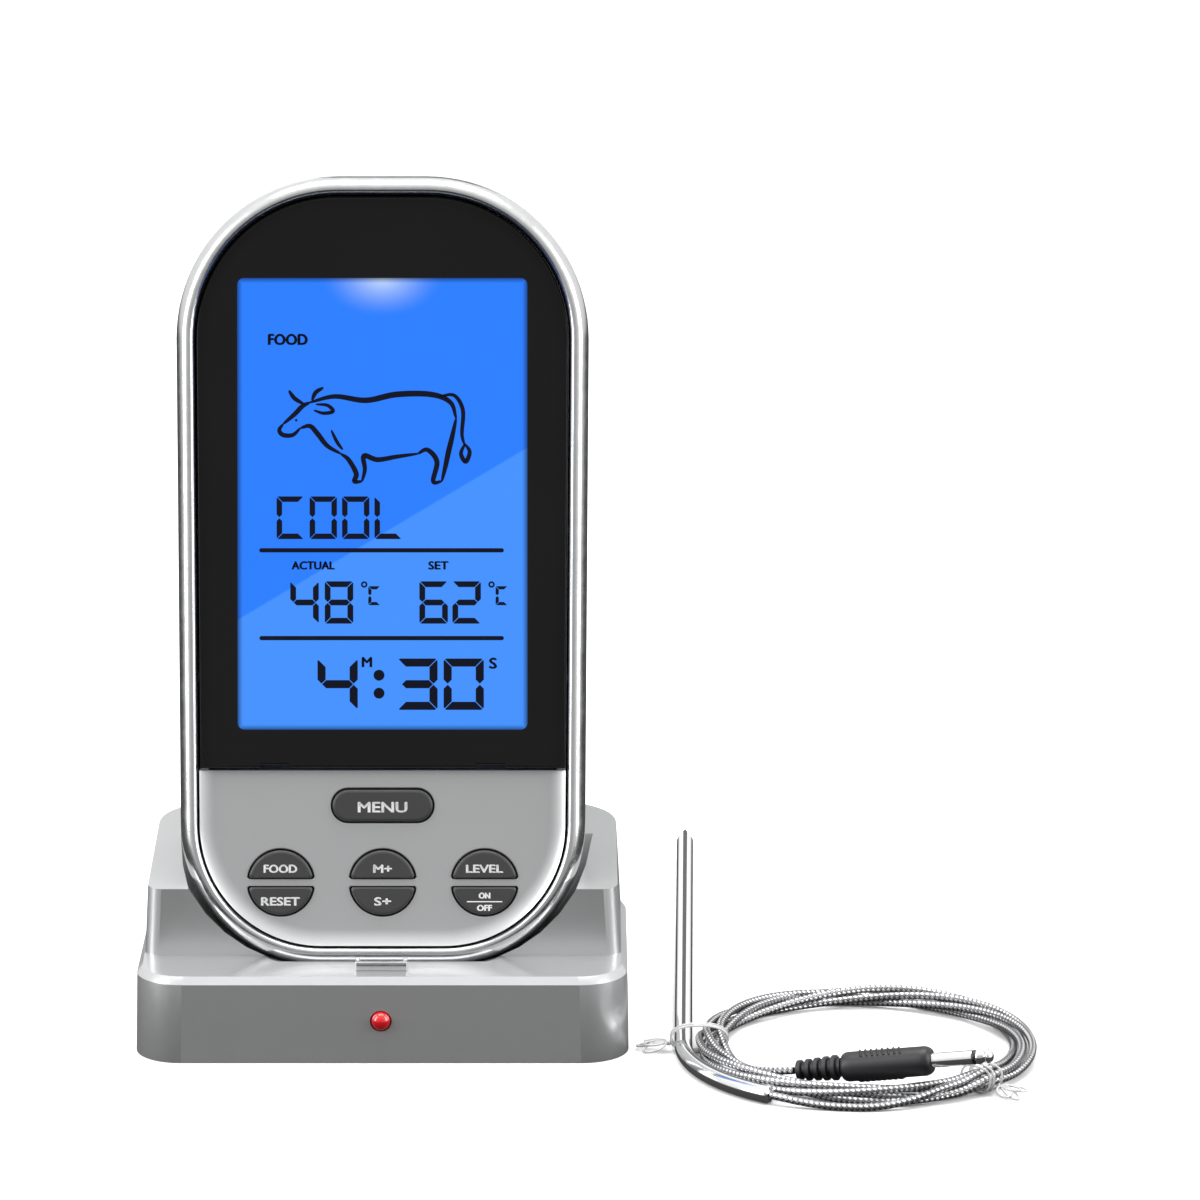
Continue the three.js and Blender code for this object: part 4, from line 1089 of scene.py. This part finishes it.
def lettering(solid, text, x, z, width, height, weight, front=SHOWN_FRONT, back=SHOWN_BACK):
    """Plain capitals, centred at X and Z, fitted to a width and height, and made bolder by a weight."""
    curve = bpy.data.curves.new("lettering", "FONT")
    curve.body = text
    curve.resolution_u = 3
    curve.fill_mode = "FRONT"
    holder = add_object("lettering", curve)
    bpy.context.view_layer.update()
    mesh = bpy.data.meshes.new_from_object(holder.evaluated_get(bpy.context.evaluated_depsgraph_get()))
    bpy.data.objects.remove(holder)
    bm = bmesh.new()
    bm.from_mesh(mesh)
    bmesh.ops.remove_doubles(bm, verts=bm.verts, dist=1e-5)
    bmesh.ops.solidify(bm, geom=bm.faces[:], thickness=-0.05)
    bm.to_mesh(mesh)
    bm.free()
    xs, ys, zs = zip(*[v.co for v in mesh.vertices])
    scale_x = (width - weight) / (max(xs) - min(xs))
    scale_z = (height - weight * 0.5) / (max(ys) - min(ys))
    x_mid, y_mid = (max(xs) + min(xs)) / 2, (max(ys) + min(ys)) / 2
    z_low, z_high = min(zs), max(zs)
    faces = sorted(tuple(p.vertices) for p in mesh.polygons)      # solidify's own order varies
    for side, lift in ((-0.5, -0.25), (0, 0.25), (0.5, -0.25)):
        start = len(solid.points)
        for v in mesh.vertices:
            near_front = (v.co.z - z_low) / (z_high - z_low)
            solid.points.append((x + side * weight + (v.co.x - x_mid) * scale_x,
                                 back + (front - back) * near_front,
                                 z + lift * weight + (v.co.y - y_mid) * scale_z))
        solid.faces += [tuple(start + i for i in face) for face in faces]


def stroke_line(solid, points, width):
    """A brushed line: a strip that swells and thins along its length."""
    line = smooth_path([(x, z, 0) for x, z in points], 6)
    count = len(line)
    left, right = [], []
    for k, p in enumerate(line):
        way = (line[min(k + 1, count - 1)] - line[max(k - 1, 0)]).normalized()
        half = width / 2 * (0.35 + 0.65 * sin(pi * k / (count - 1)) ** 0.6)
        left.append(p + Vector((-way.y, way.x, 0)) * half)
        right.append(p - Vector((-way.y, way.x, 0)) * half)
    rings = []
    for a, b in zip(left, right):
        near_side = [(a.x, SHOWN_FRONT, a.y), (b.x, SHOWN_FRONT, b.y)]
        rings.append(solid.ring(near_side + [(b.x, SHOWN_BACK, b.y), (a.x, SHOWN_BACK, a.y)]))
    solid.skin(rings)
    solid.faces += [tuple(rings[0]), tuple(rings[-1])]


def rule(solid, z, x0, x1, thick):
    half = thick / 2
    outline = arc((x1 - half, z), (half, half), -90, 90, 8) + arc((x0 + half, z), (half, half), 90, 270, 8)
    prism(solid, outline, SHOWN_FRONT, SHOWN_BACK)


def disc(solid, x, z, radius):
    prism(solid, arc((x, z), (radius, radius), 0, 345, 23), SHOWN_FRONT, SHOWN_BACK)


def ring_mark(solid, x, z, radius, thick):
    rings = []
    for r, depth in ((radius, SHOWN_BACK), (radius, SHOWN_FRONT), (radius - thick, SHOWN_FRONT),
                     (radius - thick, SHOWN_BACK)):
        rings.append(solid.ring([(px, depth, pz) for px, pz in arc((x, z), (r, r), 0, 345, 23)]))
    solid.skin(rings, True)


# A cow in side view, facing left, as brush strokes in a box that is 100 wide and 50 high.
COW = [
    ([(17, 41), (30, 44), (46, 42), (62, 45), (80, 45), (90, 41), (93, 33)], 2.3),  # back and rump
    ([(17, 41), (13, 39), (9, 35), (3, 30)], 1.9),  # forehead
    ([(3, 30), (1, 27), (3, 24.5), (8, 24.5), (12, 28)], 1.8),  # muzzle
    ([(12, 28), (17, 29), (21, 25), (26, 19), (33, 15)], 2.0),  # jaw and breast
    ([(14, 40), (9, 43), (6, 47)], 1.7),  # one horn
    ([(18, 42), (20, 46), (24, 48.5)], 1.7),  # the other
    ([(20, 40), (26, 39.5), (29, 36.5), (24, 35.5), (19, 37)], 1.5),  # ear
    ([(33, 15), (37, 12), (41, 5), (40, 1), (44, 1)], 2.0),  # foreleg
    ([(44, 1), (45.5, 7), (45, 14), (52, 12), (62, 13.5), (73, 15)], 2.0),  # foreleg and belly
    ([(73, 15), (78, 17), (83, 11), (81, 1), (85.5, 1)], 2.0),  # hind leg
    ([(85.5, 1), (87.5, 9), (89, 16), (91, 24), (93, 33)], 2.1),  # hind leg and thigh
    ([(84, 44), (92, 44.5), (96.5, 37), (96, 25), (97.5, 19)], 1.6),  # tail
    ([(97.5, 20), (95.5, 15), (98, 11), (100, 16), (97.5, 20)], 1.8),  # its tuft
    ([(28, 27), (31, 21), (34, 17)], 1.4),  # shoulder
]


def make_display():
    """What the screen shows: generic words, an animal, two temperatures and a time."""
    solid = Solid()

    def show(figures, z, width, height, stroke, gap=0.12):
        """Figures in a row on a base line, each with the place of its left edge."""
        for figure, x in figures:
            place_figure(solid, figure, x, z, width, height, stroke, gap)

    lettering(solid, "FOOD", -16.0, 106.3, 6.8, 1.95, 0.28)
    for points, width in COW:
        stroke_line(solid, [(-17.8 + x * 0.326, 81.9 + z * 0.335) for x, z in points], width * 0.44)
    disc(solid, -14.6, 92.6, 0.22)
    show((("C", -18.0), ("0", -12.4), ("0", -6.9), ("L", -1.4)), 72.4, 4.75, 7.35, 1.05)
    for z in (70.55, 55.65):
        rule(solid, z, -20.9, 20.6, 0.72)
    lettering(solid, "ACTUAL", -11.75, 68.0, 7.4, 1.45, 0.2)
    lettering(solid, "SET", 9.5, 68.0, 3.5, 1.45, 0.2)
    show((("4", -15.7), ("8", -9.85), ("6", 6.2), ("2", 11.8)), 58.05, 4.95, 7.3, 1.1)
    for x in (-3.1, 18.5):
        ring_mark(solid, x, 64.75, 0.55, 0.3)
        show((("C", x + 0.65),), 61.2, 2.1, 3.3, 0.62, 0.08)
    show((("4", -11.1), ("3", 2.45), ("0", 10.3)), 43.4, 6.95, 8.85, 1.5, 0.13)
    for z in (49.35, 46.3):
        disc(solid, -0.6, z, 0.93)
    lettering(solid, "M", -2.65, 51.6, 1.8, 1.75, 0.22)
    lettering(solid, "S", 18.75, 51.4, 1.4, 1.9, 0.22)
    add_piece("display_segments", solid, "display_unit", display_ink(), UNIT, sharp=30, weighted=False)


# For each key's body: the text, its middle in X and Z, and its width and height.
KEY_LABELS = {
    "mode_key": [("MENU", 0, 26.95, 8.4, 1.8)],
    "meat_key": [("FOOD", -17.35, 16.5, 5.7, 1.4)],
    "clear_key": [("RESET", -17.35, 10.95, 6.6, 1.45)],
    "min_key": [("M+", 0, 16.5, 3.2, 1.4)],
    "sec_key": [("S+", 0, 10.95, 2.9, 1.45)],
    "taste_key": [("LEVEL", 17.3, 16.5, 6.3, 1.4)],
    "start_stop_key": [("ON", 17.3, 11.95, 2.0, 1.05), ("OFF", 17.3, 9.85, 2.6, 1.05)],
}


def make_labels():
    ink = white_print()
    front, back = BUTTON_FACE - 0.03, BUTTON_FACE + 0.02
    for body, lines in KEY_LABELS.items():
        solid = Solid()
        for text, x, z, width, height in lines:
            lettering(solid, text, x, z, width, height, 0.16, front, back)
        if len(lines) > 1:
            prism(solid, [(14.3, 10.82), (20.3, 10.82), (20.3, 10.98), (14.3, 10.98)], front, back)
        add_piece(body + "_label", solid, body, ink, UNIT, sharp=30, weighted=False)


make_rim()
make_front_housing()
make_lens()
make_screen()
make_keys()
make_display()
make_labels()


# ---- pieces kept from the CAD ----

# How wide an edge is rounded, in millimetres. All other nodes have NARROW_EDGE.
NARROW_EDGE = 0.08
SOFT_EDGES = {
    "dock_shell": 0.35, "rear_housing": 0.25, "fold_out_stand": 0.4, "unit_battery_door": 0.35,
    "dock_battery_door": 0.35, "dock_bottom_cover": 0.2, "power_switch": 0.3, "probe_jack": 0.15,
    "retaining_tab": 0.2,
}
# The least area of a flat-shaded face, in square metres: the rear housing's rounded edge has larger strips.
LEAST_BROAD_FACE = 2e-5
BROAD_FACE = {"rear_housing": 2.5e-4}


def broad_faces(mesh, least):
    """Which polygons lie in the plane of one that covers at least an area: those are shaded flat."""
    slack, planes = 1e-5, []
    for polygon in sorted(mesh.polygons, key=lambda p: -p.area):
        if polygon.area < least:
            break
        offset = polygon.center.dot(polygon.normal)
        if not any(abs(offset - o) < slack and polygon.normal.dot(n) > ALIGNED for n, o in planes):
            planes.append((polygon.normal.copy(), offset))

    def in_plane(polygon):
        corners = [mesh.vertices[i].co for i in polygon.vertices]
        return any(all(abs(c.dot(n) - o) < slack for c in corners) for n, o in planes)

    return [in_plane(polygon) for polygon in mesh.polygons]


def dress_frame():
    """Materials, joined corners, soft edges and smooth shading for the CAD's own pieces."""
    for name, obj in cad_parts.items():
        for index, material in enumerate(obj.data.materials):
            obj.data.materials[index] = LOOKS[material.name]
        least = BROAD_FACE.get(name, LEAST_BROAD_FACE)
        obj.data.polygons.foreach_set("use_smooth", [not broad for broad in broad_faces(obj.data, least)])
        weld = obj.modifiers.new("joined_corners", "WELD")
        weld.merge_threshold = 1e-6
        bevel = obj.modifiers.new("soft_edges", "BEVEL")
        bevel.width = SOFT_EDGES.get(name, NARROW_EDGE) * MM
        bevel.segments = 3 if name in SOFT_EDGES else 1
        bevel.limit_method = "ANGLE"
        bevel.angle_limit = radians(30)
        bevel.use_clamp_overlap = True


dress_frame()
